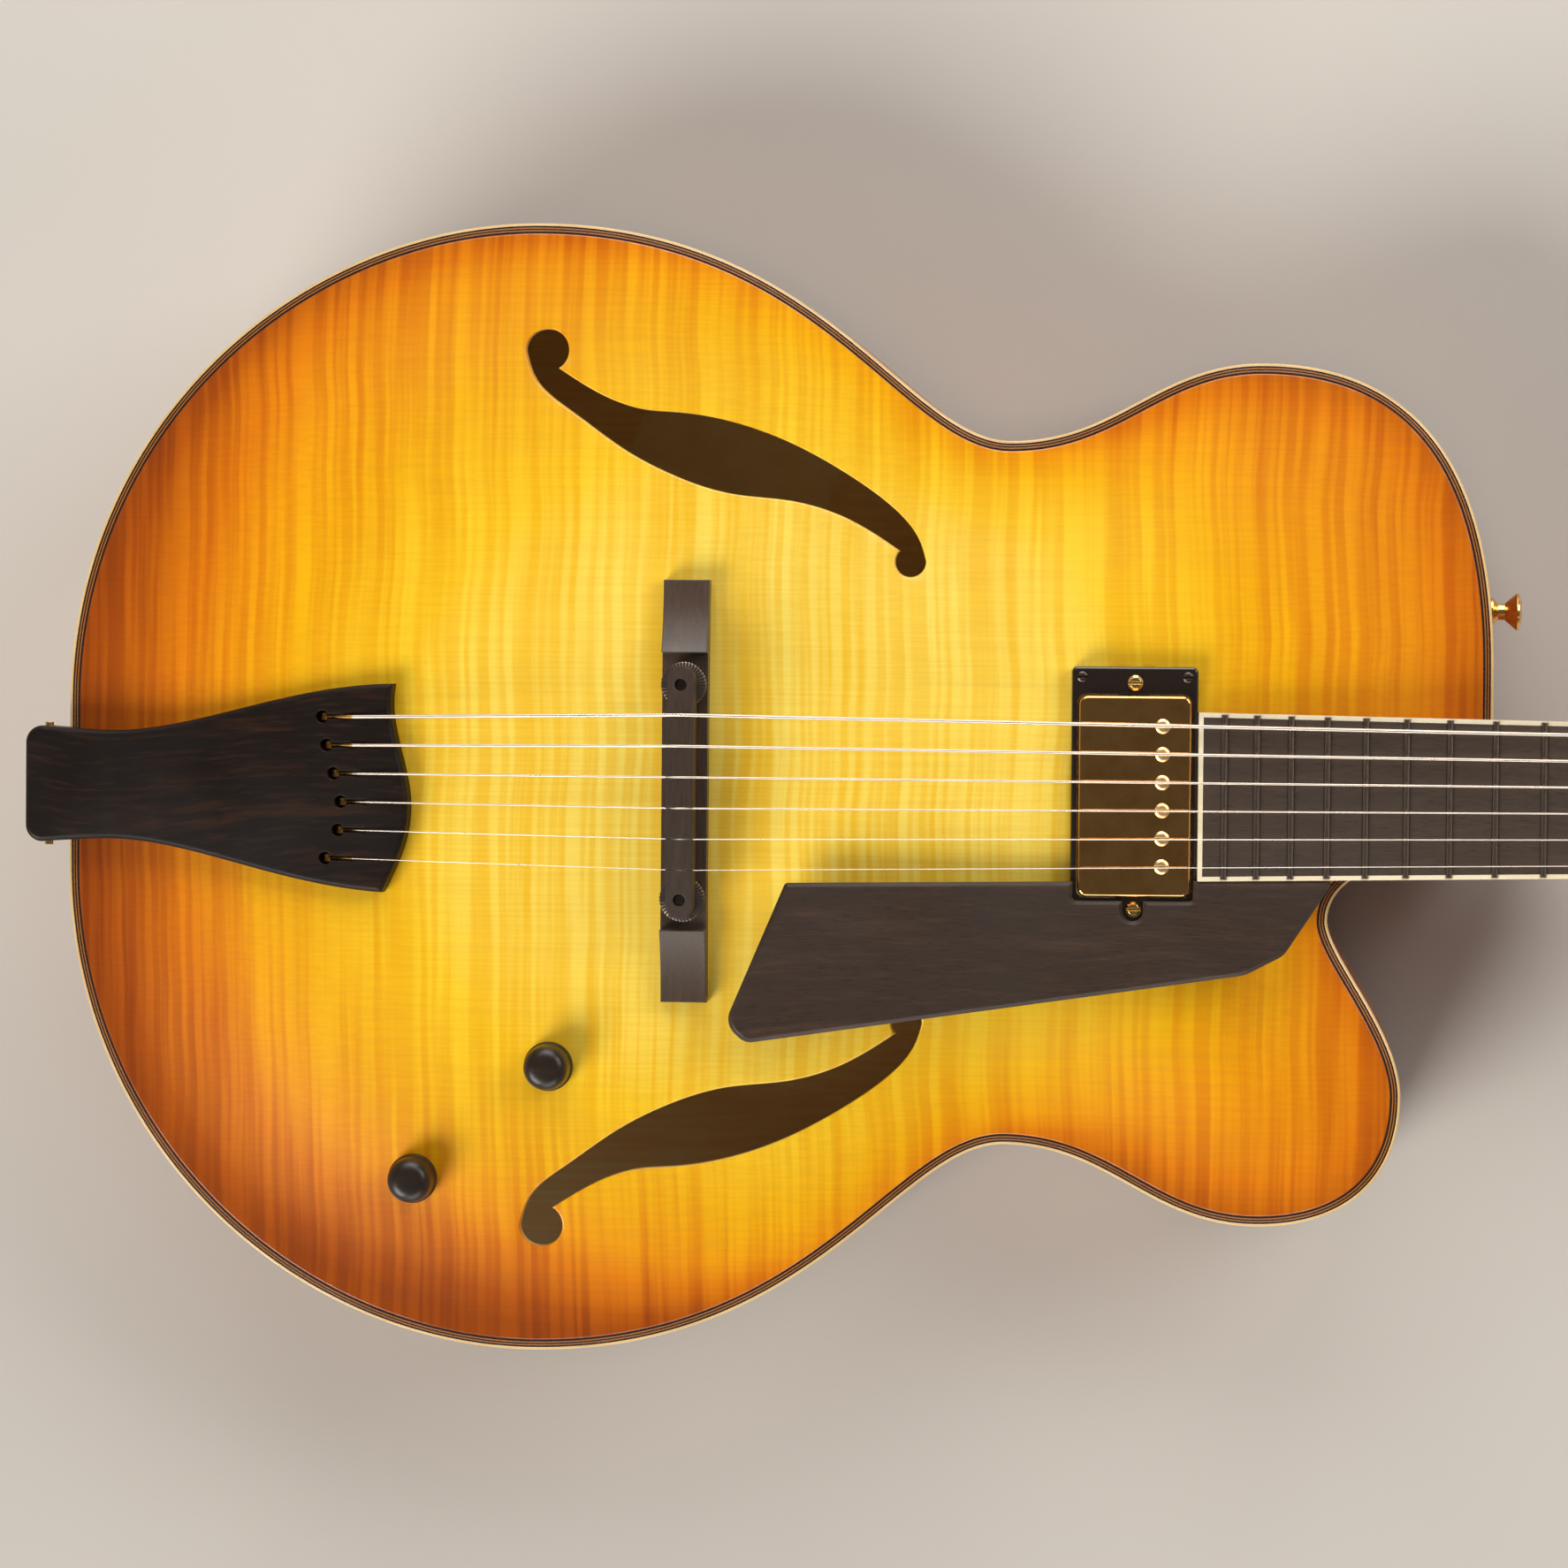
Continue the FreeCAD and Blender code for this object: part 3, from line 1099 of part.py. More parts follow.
def string_nodes():
    """Strings, and the cutters for their notches in saddle and nut."""
    wound = []
    plain = []
    notches = []
    for k, (radius, points, spot) in enumerate(string_routes()):
        turn = post_turn(radius, points[-1], spot)
        form = tube if k < WOUND_STRINGS else faceted_cord
        group = wound if k < WOUND_STRINGS else plain
        barrel = rod(BALL_RADIUS, points[0] - Y_AXIS * BALL_HALF, points[0] + Y_AXIS * BALL_HALF)
        group.append(form(radius, points, turn).fuse(barrel))
        half = radius + NOTCH_CLEARANCE
        notches.append(form(half, points, turn))
        notches.extend(open_slots(half, points[1:] + [turn[0]]))
    NODES["wound_strings"] = Part.makeCompound(wound)
    NODES["plain_strings"] = Part.makeCompound(plain)
    return notches


def bridge_nodes(notches):
    wing_z = top_z(BRIDGE_X, BRIDGE_BASE_HALF) + BRIDGE_WING_RISE
    shoulder = BED_Z + BRIDGE_SHOULDER_RISE
    x0 = BRIDGE_X - BRIDGE_BASE_WIDTH / 2
    low = RIM_TOP
    dip = (wing_z + shoulder) / 2 - BRIDGE_WING_DIP
    corner = [Vector(x0, -BRIDGE_BASE_HALF, low), Vector(x0, BRIDGE_BASE_HALF, low),
              Vector(x0, BRIDGE_BASE_HALF, wing_z), Vector(x0, BRIDGE_BED_HALF, shoulder),
              Vector(x0, BRIDGE_BED_HALF, BED_Z), Vector(x0, -BRIDGE_BED_HALF, BED_Z),
              Vector(x0, -BRIDGE_BED_HALF, shoulder), Vector(x0, -BRIDGE_BASE_HALF, wing_z)]
    wing_a = Part.Arc(corner[2], Vector(x0, BRIDGE_WING_DIP_Y, dip), corner[3]).toShape()
    wing_b = Part.Arc(corner[6], Vector(x0, -BRIDGE_WING_DIP_Y, dip), corner[7]).toShape()
    lines = [Part.makeLine(corner[a], corner[b]) for a, b in ((0, 1), (1, 2), (3, 4), (4, 5), (5, 6), (7, 0))]
    wire = Part.Wire([lines[0], lines[1], wing_a, lines[2], lines[3], lines[4], wing_b, lines[5]])
    base = Part.Face(wire).extrude(Vector(BRIDGE_BASE_WIDTH, 0, 0)).cut(BELOW_TOP)

    post_top = SADDLE_LOW_Z + SADDLE_HEIGHT - SADDLE_END_DROP - BRIDGE_POST_TOP_GAP
    post_low = BED_Z - BRIDGE_BED_RISE + BRIDGE_POST_FLOOR
    posts = []
    saddle_holes = []
    for name, side in (("bass_thumbwheel", 1), ("treble_thumbwheel", -1)):
        y = side * POST_SPACING_HALF
        posts.append(upright(BRIDGE_POST_RADIUS, BRIDGE_X, y, post_low, post_top))
        post_bore = BRIDGE_POST_RADIUS + RUNNING_CLEARANCE
        base = base.cut(upright(post_bore, BRIDGE_X, y, post_low - RUNNING_CLEARANCE, post_top))
        saddle_bore = BRIDGE_POST_RADIUS + SADDLE_POST_CLEARANCE
        saddle_holes.append(upright(saddle_bore, BRIDGE_X, y, BED_Z, ABOVE_PLATE))
        wheel = Part.makeCylinder(WHEEL_RADIUS, WHEEL_THICKNESS)
        wheel = wheel.makeChamfer(WHEEL_CHAMFER, edges_at(wheel, 0) + edges_at(wheel, WHEEL_THICKNESS))
        grooves = []
        for step in range(WHEEL_KNURLS):
            angle = 2 * math.pi * step / WHEEL_KNURLS
            groove_x = WHEEL_RADIUS * math.cos(angle)
            groove_y = WHEEL_RADIUS * math.sin(angle)
            grooves.append(upright(WHEEL_KNURL_RADIUS, groove_x, groove_y))
        wheel = wheel.cut(Part.makeCompound(grooves)).cut(upright(post_bore, 0, 0))
        NODES[name] = shifted(wheel, BRIDGE_X, y, WHEEL_LOW_Z)
    NODES["bridge_base"] = base
    NODES["bridge_posts"] = Part.makeCompound(posts)

    x1 = BRIDGE_X - SADDLE_WIDTH / 2
    ends = [Vector(x1, -SADDLE_HALF, SADDLE_LOW_Z), Vector(x1, SADDLE_HALF, SADDLE_LOW_Z),
            Vector(x1, SADDLE_HALF, crown_z(SADDLE_HALF)), Vector(x1, -SADDLE_HALF, crown_z(SADDLE_HALF))]
    crown = Part.Arc(ends[2], Vector(x1, 0, SADDLE_CROWN_Z), ends[3]).toShape()
    wire = Part.Wire([Part.makeLine(ends[0], ends[1]), Part.makeLine(ends[1], ends[2]), crown,
                      Part.makeLine(ends[3], ends[0])])
    saddle = Part.Face(wire).extrude(Vector(SADDLE_WIDTH, 0, 0))
    r = SADDLE_WIDTH / 2 - SADDLE_END_FLAT
    plan = rounded_prism([(x1, -SADDLE_HALF, r), (x1 + SADDLE_WIDTH, -SADDLE_HALF, r),
                          (x1 + SADDLE_WIDTH, SADDLE_HALF, r), (x1, SADDLE_HALF, r)], BED_Z, SADDLE_CROWN_Z)
    saddle = saddle.common(plan)
    for cutter in saddle_holes + notches:
        saddle = saddle.cut(cutter)
    NODES["bridge_saddle"] = saddle
    for cutter in notches:
        NODES["nut"] = NODES["nut"].cut(cutter)


def tailpiece_nodes():
    half = TAILPIECE_END_HALF
    r = TAILPIECE_CORNER
    side_points = [Vector(r, half, 0)] + [Vector(u, v, 0) for u, v in TAILPIECE_SIDE]
    front_points = [Vector(u, v, 0) for u, v in TAILPIECE_FRONT]
    treble_end = front_points[-1]
    side_a = Part.BSplineCurve()
    side_a.interpolate(Points=side_points + [front_points[0]])
    side_b = Part.BSplineCurve()
    side_b.interpolate(Points=[treble_end] + [Vector(v.x, -v.y, 0) for v in reversed(side_points)])
    front = Part.BSplineCurve()
    front.interpolate(Points=front_points)
    k = r * (1 - math.sqrt(0.5))
    arc_b = Part.Arc(Vector(r, -half, 0), Vector(k, -half + k, 0), Vector(0, -half + r, 0))
    arc_a = Part.Arc(Vector(0, half - r, 0), Vector(k, half - k, 0), Vector(r, half, 0))
    rear = Part.makeLine(Vector(0, -half + r, 0), Vector(0, half - r, 0))
    edges = [side_a.toShape(), front.toShape(), side_b.toShape(), arc_b.toShape(), rear, arc_a.toShape()]
    plan = Part.Face(Part.Wire(edges))
    plate = plan.extrude(Vector(0, 0, -TAILPIECE_THICKNESS))
    plate = plate.makeFillet(TAILPIECE_FILLET, edges_at(plate, 0))
    block = plan.extrude(Vector(0, 0, -TAILPIECE_BLOCK_THICKNESS))
    block = block.common(box(-MARGIN, TAILPIECE_BLOCK_LENGTH, -FAR, FAR, -FAR, -TAILPIECE_THICKNESS / 2))
    shape = plate.fuse(block)
    for k, u in enumerate(STRING_HOLE_U):
        v = (STRING_MIDDLE - k) * STRING_STEP_TAIL
        shape = shape.cut(upright(STRING_HOLE_RADIUS, u, v))
        half_slot = STRING_SLOT_WIDTH / 2
        shape = shape.cut(box(u, u + STRING_SLOT_LENGTH, v - half_slot, v + half_slot, -FAR, FAR))
    pin_a = Vector(PIN_U, -half - PIN_OVERHANG, -PIN_DROP)
    pin_b = Vector(PIN_U, half + PIN_OVERHANG, -PIN_DROP)
    bore = PIN_RADIUS + RUNNING_CLEARANCE
    shape = shape.cut(rod(bore, pin_a - Vector(0, FAR, 0), pin_b + Vector(0, FAR, 0)))
    reach = BARREL_HALF + BARREL_CLEARANCE
    radius = BARREL_RADIUS + BARREL_CLEARANCE
    room = rod(radius, Vector(PIN_U, -reach, -PIN_DROP), Vector(PIN_U, reach, -PIN_DROP))
    room = room.fuse(box(PIN_U - radius, PIN_U + radius + BARREL_ROOM, -reach, reach, -FAR, -PIN_DROP))
    NODES["tailpiece"] = put(TAIL_FRAME, shape.cut(room))
    NODES["tailpiece_pin"] = put(TAIL_FRAME, rod(PIN_RADIUS, pin_a, pin_b))

    pivot = TAIL_FRAME.multVec(Vector(PIN_U, 0, -PIN_DROP))
    barrel = rod(BARREL_RADIUS, Vector(pivot.x, -BARREL_HALF, pivot.z), Vector(pivot.x, BARREL_HALF, pivot.z))
    arm_low = pivot.z - BARREL_RADIUS - HANGER_ARM_DROP
    arm_back = pivot.x - HANGER_ARM_HALF
    plate = box(-HANGER_THICKNESS - GLUE_GAP, -GLUE_GAP, -HANGER_HALF, HANGER_HALF, HANGER_LOW_Z, arm_low)
    foot = arm_low - HANGER_ARM_HEIGHT
    plate = plate.fuse(box(arm_back, -GLUE_GAP, -BARREL_HALF, BARREL_HALF, foot, arm_low))
    plate = plate.fuse(box(arm_back, pivot.x + HANGER_ARM_HALF, -BARREL_HALF, BARREL_HALF, foot, pivot.z))
    pin_hole = rod(bore, Vector(pivot.x, -FAR, pivot.z), Vector(pivot.x, FAR, pivot.z))
    NODES["tailpiece_hanger"] = plate.fuse(barrel).cut(pin_hole).cut(jack_hole())

    outer = -HANGER_THICKNESS - 2 * GLUE_GAP
    jack = rod(JACK_BARREL_RADIUS, Vector(outer, 0, RIM_MIDDLE_Z), Vector(JACK_LENGTH, 0, RIM_MIDDLE_Z))
    flange = Part.makeCone(JACK_FLANGE_RADIUS, JACK_FLANGE_RADIUS - JACK_FLANGE_TAPER, JACK_FLANGE,
                           Vector(outer, 0, RIM_MIDDLE_Z), Vector(-1, 0, 0))
    face_x = outer - JACK_FLANGE
    bore_end = Vector(face_x + JACK_BORE_LENGTH, 0, RIM_MIDDLE_Z)
    plug_hole = rod(JACK_BORE_RADIUS, Vector(face_x - MARGIN, 0, RIM_MIDDLE_Z), bore_end)
    NODES["output_jack"] = jack.fuse(flange).cut(plug_hole)

    knob = [(radius, STRAP_LENGTH * share) for radius, share in STRAP_PROFILE]
    screw = [(0, -STRAP_SCREW_LENGTH), (STRAP_SCREW_RADIUS, -STRAP_SCREW_LENGTH), (STRAP_SCREW_RADIUS, 0)]
    strap = turned(screw + knob + [(0, STRAP_LENGTH)], Vector(0, 0, 0))
    NODES["strap_button"] = put(Placement(Vector(BODY_LENGTH + GLUE_GAP, STRAP_Y, RIM_MIDDLE_Z),
                                          Rotation(Y_AXIS, 90)), strap)


def pickup_nodes():
    frame_outer = plan_box(RING_LENGTH, 2 * RING_HALF, RING_CORNER, -FAR / 2, 0)
    frame_outer = frame_outer.makeFillet(RING_FILLET, edges_at(frame_outer, 0))
    gap = COVER_GAP
    frame_outer = frame_outer.cut(plan_box(COVER_PLAN_LENGTH + 2 * gap, COVER_PLAN_WIDTH + 2 * gap,
                                           COVER_CORNER, -FAR, FAR))
    for y in (HEIGHT_SCREW_Y, -HEIGHT_SCREW_Y):
        frame_outer = frame_outer.cut(upright(HEIGHT_SCREW_RADIUS + SCREW_CLEARANCE, 0, y))
    corners = [(dx, dy) for dx in (RING_SCREW_X, -RING_SCREW_X) for dy in (RING_SCREW_Y, -RING_SCREW_Y)]
    small = RING_SHANK_RADIUS
    for x, y in corners:
        frame_outer = frame_outer.cut(upright(small + SCREW_CLEARANCE, x, y))
    hole_low = -RING_SCREW_LENGTH - HOLE_BOTTOM_GAP
    holes = [put(PICKUP_FRAME, upright(small + SCREW_CLEARANCE, x, y, hole_low)) for x, y in corners]
    NODES["pickup_ring"] = put(PICKUP_FRAME, frame_outer).cut(BELOW_TOP)
    for hole in holes:
        NODES["top_plate"] = NODES["top_plate"].cut(hole)
    screw = slotted_screw(RING_SCREW_RADIUS, RING_SCREW_RISE, small, RING_SCREW_LENGTH, SEAT_GAP)
    group = [put(PICKUP_FRAME, shifted(screw, x, y)) for x, y in corners]
    cover_top = OVERLAY_THICKNESS + ROD_COVER_THICKNESS + GLUE_GAP + SEAT_GAP
    length = ROD_COVER_THICKNESS + ROD_COVER_SCREW_DEPTH
    cover_screw = slotted_screw(RING_SCREW_RADIUS, RING_SCREW_RISE, small, length, cover_top)
    for share in ROD_COVER_SCREWS:
        p = ROD_COVER_START_P + ROD_COVER_LENGTH * share
        hole = put(HEAD_FRAME, upright(small + SCREW_CLEARANCE, p, 0, cover_top - length - HOLE_BOTTOM_GAP))
        for name in ("truss_rod_cover", "headstock_overlay", "neck"):
            NODES[name] = NODES[name].cut(hole)
        group.append(put(HEAD_FRAME, shifted(cover_screw, p, 0)))
    NODES["mounting_screws"] = Part.makeCompound(group)

    low = -COVER_DEPTH
    shell = plan_box(COVER_PLAN_LENGTH, COVER_PLAN_WIDTH, COVER_CORNER, low, COVER_RISE)
    shell = shell.makeFillet(COVER_EDGE_FILLET, edges_at(shell, COVER_RISE))
    wall = COVER_WALL
    shell = shell.cut(plan_box(COVER_PLAN_LENGTH - 2 * wall, COVER_PLAN_WIDTH - 2 * wall,
                               COVER_CORNER - wall, -FAR, COVER_RISE - wall))
    poles = []
    under = low - GLUE_GAP
    coil_high = COVER_RISE - wall - GLUE_GAP
    coil_low = coil_high - COIL_HEIGHT
    magnet_high = coil_low - GLUE_GAP
    coil = plan_box(COIL_WIDTH, COIL_LENGTH, COIL_WIDTH / 2 - COIL_END_FLAT, coil_low, coil_high)
    coils = [shifted(coil, x, 0) for x in (POLE_OFFSET, -POLE_OFFSET)]
    inset = 2 * (wall + PLATE_INSET)
    floor = under - PLATE_METAL
    plate = plan_box(COVER_PLAN_LENGTH - inset, COVER_PLAN_WIDTH - inset, PLATE_CORNER, floor, under)
    plate = plate.fuse(box(-EAR_HALF, EAR_HALF, -EAR_REACH, EAR_REACH, floor, under))
    magnet_half = POLE_OFFSET - MAGNET_INSET
    magnet = box(-magnet_half, magnet_half, -COIL_LENGTH / 2, COIL_LENGTH / 2, under + GLUE_GAP, magnet_high)
    pole = slotted_screw(POLE_HEAD_RADIUS, POLE_RISE, POLE_SHANK_RADIUS, COVER_RISE - floor, 0.0)
    for k in range(len(STRING_DIAMETERS)):
        y = (STRING_MIDDLE - k) * POLE_STEP
        hole = upright(POLE_SHANK_RADIUS + SCREW_CLEARANCE, POLE_OFFSET, y)
        shell = shell.cut(hole)
        coils[0] = coils[0].cut(hole)
        plate = plate.cut(hole)
        poles.append(shifted(pole, POLE_OFFSET, y, COVER_RISE + SEAT_GAP))
    NODES["pole_screws"] = put(PICKUP_FRAME, Part.makeCompound(poles))
    NODES["pickup_cover"] = put(PICKUP_FRAME, shell)
    NODES["pickup_coils"] = put(PICKUP_FRAME, Part.makeCompound(coils))

    screws = []
    springs = []
    head = slotted_screw(HEIGHT_HEAD_RADIUS, HEIGHT_HEAD_RISE, HEIGHT_SCREW_RADIUS,
                         COVER_DEPTH + PLATE_METAL + HEIGHT_SCREW_TAIL, SEAT_GAP)
    for y in (HEIGHT_SCREW_Y, -HEIGHT_SCREW_Y):
        screws.append(shifted(head, 0, y))
        plate = plate.cut(upright(HEIGHT_SCREW_RADIUS + RUNNING_CLEARANCE, 0, y))
        sleeve_low = under + SEAT_GAP
        middle = PICKUP_FRAME.multVec(Vector(0, y, 0))
        sleeve_high = top_z(middle.x, middle.y) - RING_TOP_Z - SPRING_TOP_GAP
        sleeve = upright(SPRING_RADIUS, 0, y, sleeve_low, sleeve_high)
        springs.append(sleeve.cut(upright(HEIGHT_SCREW_RADIUS + SCREW_CLEARANCE, 0, y)))
    NODES["pickup_baseplate"] = put(PICKUP_FRAME, Part.makeCompound([plate, magnet]))
    NODES["pickup_height_screws"] = put(PICKUP_FRAME, Part.makeCompound(screws))
    NODES["pickup_springs"] = put(PICKUP_FRAME, Part.makeCompound(springs))


def around(x, y, radius):
    """Top heights on a small circle, and at its middle."""
    row = [top_z(x, y)]
    for k in range(8):
        angle = math.pi * k / 4
        row.append(top_z(x + radius * math.cos(angle), y + radius * math.sin(angle)))
    return row


def control_nodes():
    pots = []
    for name, (x, y) in zip(("volume_knob", "tone_knob"), KNOB_PLACES):
        knob_low = max(around(x, y, KNOB_RADIUS)) + KNOB_GAP
        can_high = min(around(x, y, POT_RADIUS)) - PLATE_THICKNESS - KNOB_GAP
        bushing_high = knob_low - KNOB_GAP + BUSHING_RISE
        shaft_low = can_high - SHAFT_DEPTH
        can = upright(POT_RADIUS, x, y, can_high - POT_HEIGHT, can_high)
        bushing = upright(BUSHING_RADIUS, x, y, shaft_low, bushing_high)
        bore = upright(SHAFT_RADIUS + RUNNING_CLEARANCE, x, y, shaft_low - RUNNING_CLEARANCE, ABOVE_PLATE)
        pots.append(can.fuse(bushing).cut(bore))
        h = KNOB_HEIGHT
        shaft_high = h - SHAFT_TOP_WALL
        recess = bushing_high - knob_low + KNOB_GAP
        inner = SHAFT_RADIUS + GLUE_GAP
        skirt = [(KNOB_RADIUS - back, up) for back, up in KNOB_SKIRT]
        dome = [(KNOB_RADIUS - back, h * share) for back, share in KNOB_DOME]
        outline = [(KNOB_RECESS_RADIUS, 0)] + skirt + dome + [(0, h), (0, shaft_high + GLUE_GAP)]
        outline += [(inner, shaft_high + GLUE_GAP), (inner, recess), (KNOB_RECESS_RADIUS, recess)]
        knob = turned(outline, Vector(x, y, knob_low))
        shaft = upright(SHAFT_RADIUS, x, y, shaft_low, knob_low + shaft_high)
        NODES[name] = Part.makeCompound([knob, shaft])
    NODES["potentiometers"] = Part.makeCompound(pots)


def guard_nodes():
    half_x = COVER_PLAN_LENGTH / 2 + GUARD_NOTCH
    edge_y = -COVER_PLAN_WIDTH / 2 - GUARD_NOTCH
    plan = [((x - BRIDGE_X) * TO_SLOPE, y, r) for x, y, r in GUARD_OUTLINE]
    high = -GUARD_DROP
    sheet = rounded_prism(plan, high - GUARD_THICKNESS, high)
    middle = (PICKUP_X - BRIDGE_X) * TO_SLOPE
    r = GUARD_NOTCH_CORNER
    notch = rounded_prism([(middle - half_x, edge_y, r), (middle + half_x, edge_y, r),
                           (middle + half_x, FAR, r), (middle - half_x, FAR, r)], -FAR, FAR)
    slot = GUARD_SLOT_HALF
    end = slot - GUARD_SLOT_FLAT
    notch = notch.fuse(rounded_prism([(middle - slot, GUARD_SLOT_Y, end), (middle + slot, GUARD_SLOT_Y, end),
                                      (middle + slot, 0, r), (middle - slot, 0, r)], -FAR, FAR))
    sheet = sheet.cut(notch)
    sheet = sheet.makeChamfer(GUARD_FILLET, edges_at(sheet, high))
    sheet = sheet.cut(board_prism(GUARD_BOARD_GAP, -FAR, FAR))
    NODES["pickguard"] = put(NECK_FRAME, sheet)
    x = GUARD_BLOCK_X
    y = GUARD_BLOCK_Y
    block = box(x - GUARD_BLOCK_LENGTH / 2, x + GUARD_BLOCK_LENGTH / 2, y - GUARD_BLOCK_WIDTH / 2,
                y + GUARD_BLOCK_WIDTH / 2, RIM_TOP, ABOVE_PLATE)
    over = put(NECK_FRAME, box(-FAR, SCALE_LENGTH, -2 * FAR, 2 * FAR, high - GUARD_THICKNESS - GLUE_GAP, FAR))
    NODES["pickguard_support"] = block.cut(BELOW_TOP).cut(over)


def write_nodes():
    tip = HEAD_FRAME.multVec(Vector(HEAD_LENGTH, 0, 0))
    middle = (TAILPIECE_END_X + tip.x) / 2
    os.makedirs("parts", exist_ok=True)
    for name, shape in sorted(NODES.items()):
        moved = shape.copy()
        moved.translate(Vector(-middle, 0, 0))
        moved.exportStep("parts/" + name + ".step")


body_nodes()
neck_nodes()
tuner_nodes()
bridge_nodes(string_nodes())
tailpiece_nodes()
pickup_nodes()
control_nodes()
guard_nodes()
write_nodes()
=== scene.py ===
import logging
import math
from dataclasses import dataclass
from enum import Enum, IntEnum
from typing import Callable, Sequence

import bpy
import numpy as np
from mathutils import Matrix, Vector
from mathutils.geometry import delaunay_2d_cdt


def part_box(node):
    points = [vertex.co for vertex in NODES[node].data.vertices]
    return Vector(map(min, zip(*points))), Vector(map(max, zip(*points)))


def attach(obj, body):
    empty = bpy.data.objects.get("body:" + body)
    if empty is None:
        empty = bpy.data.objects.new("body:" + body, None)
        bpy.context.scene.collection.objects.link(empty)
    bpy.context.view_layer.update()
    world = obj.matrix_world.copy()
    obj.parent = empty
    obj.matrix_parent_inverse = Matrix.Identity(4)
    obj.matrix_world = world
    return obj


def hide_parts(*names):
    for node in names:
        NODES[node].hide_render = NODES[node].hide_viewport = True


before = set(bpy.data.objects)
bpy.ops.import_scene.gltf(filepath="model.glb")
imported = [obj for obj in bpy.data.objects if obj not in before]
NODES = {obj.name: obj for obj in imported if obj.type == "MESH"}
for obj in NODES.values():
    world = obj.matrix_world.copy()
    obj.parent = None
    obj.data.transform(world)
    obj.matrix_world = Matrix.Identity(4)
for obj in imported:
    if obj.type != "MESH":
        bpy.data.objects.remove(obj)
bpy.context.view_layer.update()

# An archtop guitar with one cutaway, dressed over its frame: woods, lacquer, metals, light and camera.
# Plan sizes are millimetres from the tail edge of the body; meshes are in metres in the frame's own place.

MM = 0.001
TAIL_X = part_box("top_binding")[0].x
ROOT = "guitar"
SMOOTH_ANGLE = 32
WELD = 2e-6
WAVE_RADIANS = 20.0
TUNER_NUMBERS = range(1, 7)
LOG = logging.getLogger("guitar")

Array = np.ndarray
Pair = tuple[float, float]
Triple = tuple[float, float, float]
Colour = Triple
Stop = tuple[float, Colour]
Socket = bpy.types.NodeSocket
Value = Socket | float | Triple
Wears = tuple[tuple[str, ...], ...]


def srgb(red: int, green: int, blue: int) -> Colour:
    """Turn a screen colour of 0 to 255 a channel into linear light.

    Args:
        red: Red on the screen.
        green: Green on the screen.
        blue: Blue on the screen.

    Returns:
        The linear colour.
    """
    part = np.array([red, green, blue]) / 255.0
    linear = np.where(part <= 0.04045, part / 12.92, ((part + 0.055) / 1.055) ** 2.4)
    return float(linear[0]), float(linear[1]), float(linear[2])


def in_frame(points: Array) -> Array:
    """Turn plan millimetres into metres in the frame: scale, then shift along x by the tail's place."""
    return points * MM + np.array([TAIL_X, 0.0, 0.0])


class Heading(Enum):
    """Directions in which the body edge leaves its key points."""

    NORTH = (0.0, 1.0)
    SOUTH = (0.0, -1.0)
    EAST = (1.0, 0.0)
    WEST = (-1.0, 0.0)


class Grain(Enum):
    """The axis along which wood fibres run."""

    ALONG = (1.0, 0.0, 0.0)
    ACROSS = (0.0, 1.0, 0.0)


class Face(IntEnum):
    """Kinds of face on a plate, in the order of its finishes."""

    OUTSIDE = 0
    HOLE_WALL = 1
    INSIDE = 2


# Mesh making


def grid_faces(rows: int, columns: int, close_rows: bool, close_columns: bool) -> Array:
    """Quads over a grid of points numbered row by row.

    Args:
        rows: Number of rows.
        columns: Number of points in a row.
        close_rows: Whether the last row joins the first.
        close_columns: Whether each row is a closed ring.

    Returns:
        One row of four point numbers for each quad.
    """
    a = np.arange(rows if close_rows else rows - 1)
    b = np.arange(columns if close_columns else columns - 1)
    a, b = [grid.ravel() for grid in np.meshgrid(a, b, indexing="ij")]
    a_next = (a + 1) % rows
    b_next = (b + 1) % columns
    corners = [a * columns + b, a_next * columns + b, a_next * columns + b_next, a * columns + b_next]
    return np.stack(corners, axis=1)


def new_piece(name: str, points: Array, faces: Sequence[Array], body: str = ROOT,
              smooth: bool = True) -> bpy.types.Object:
    """Make a mesh object that rides on a body of the frame.

    Args:
        name: Name of the piece.
        points: Points in metres, one row each.
        faces: Arrays of triangles or quads.
        body: The body it moves with.
        smooth: Whether its shading is smooth.

    Returns:
        The new object, at the origin and unturned.
    """
    mesh = bpy.data.meshes.new(name)
    polygons = [face.tolist() for group in faces for face in group]
    mesh.from_pydata(points.tolist(), [], polygons)
    mesh.validate()
    mesh.polygons.foreach_set("use_smooth", np.full(len(mesh.polygons), smooth))
    mesh.update()
    made = bpy.data.objects.new(name, mesh)
    bpy.context.scene.collection.objects.link(made)
    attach(made, body)
    LOG.info("%s: %d points, %d faces", name, len(mesh.vertices), len(mesh.polygons))
    return made


def set_number(piece: bpy.types.Object, name: str, values: Array) -> None:
    """Store one number for each point of a piece, for its material to read."""
    layer = piece.data.attributes.new(name, "FLOAT", "POINT")
    layer.data.foreach_set("value", np.ascontiguousarray(values, dtype=np.float32))


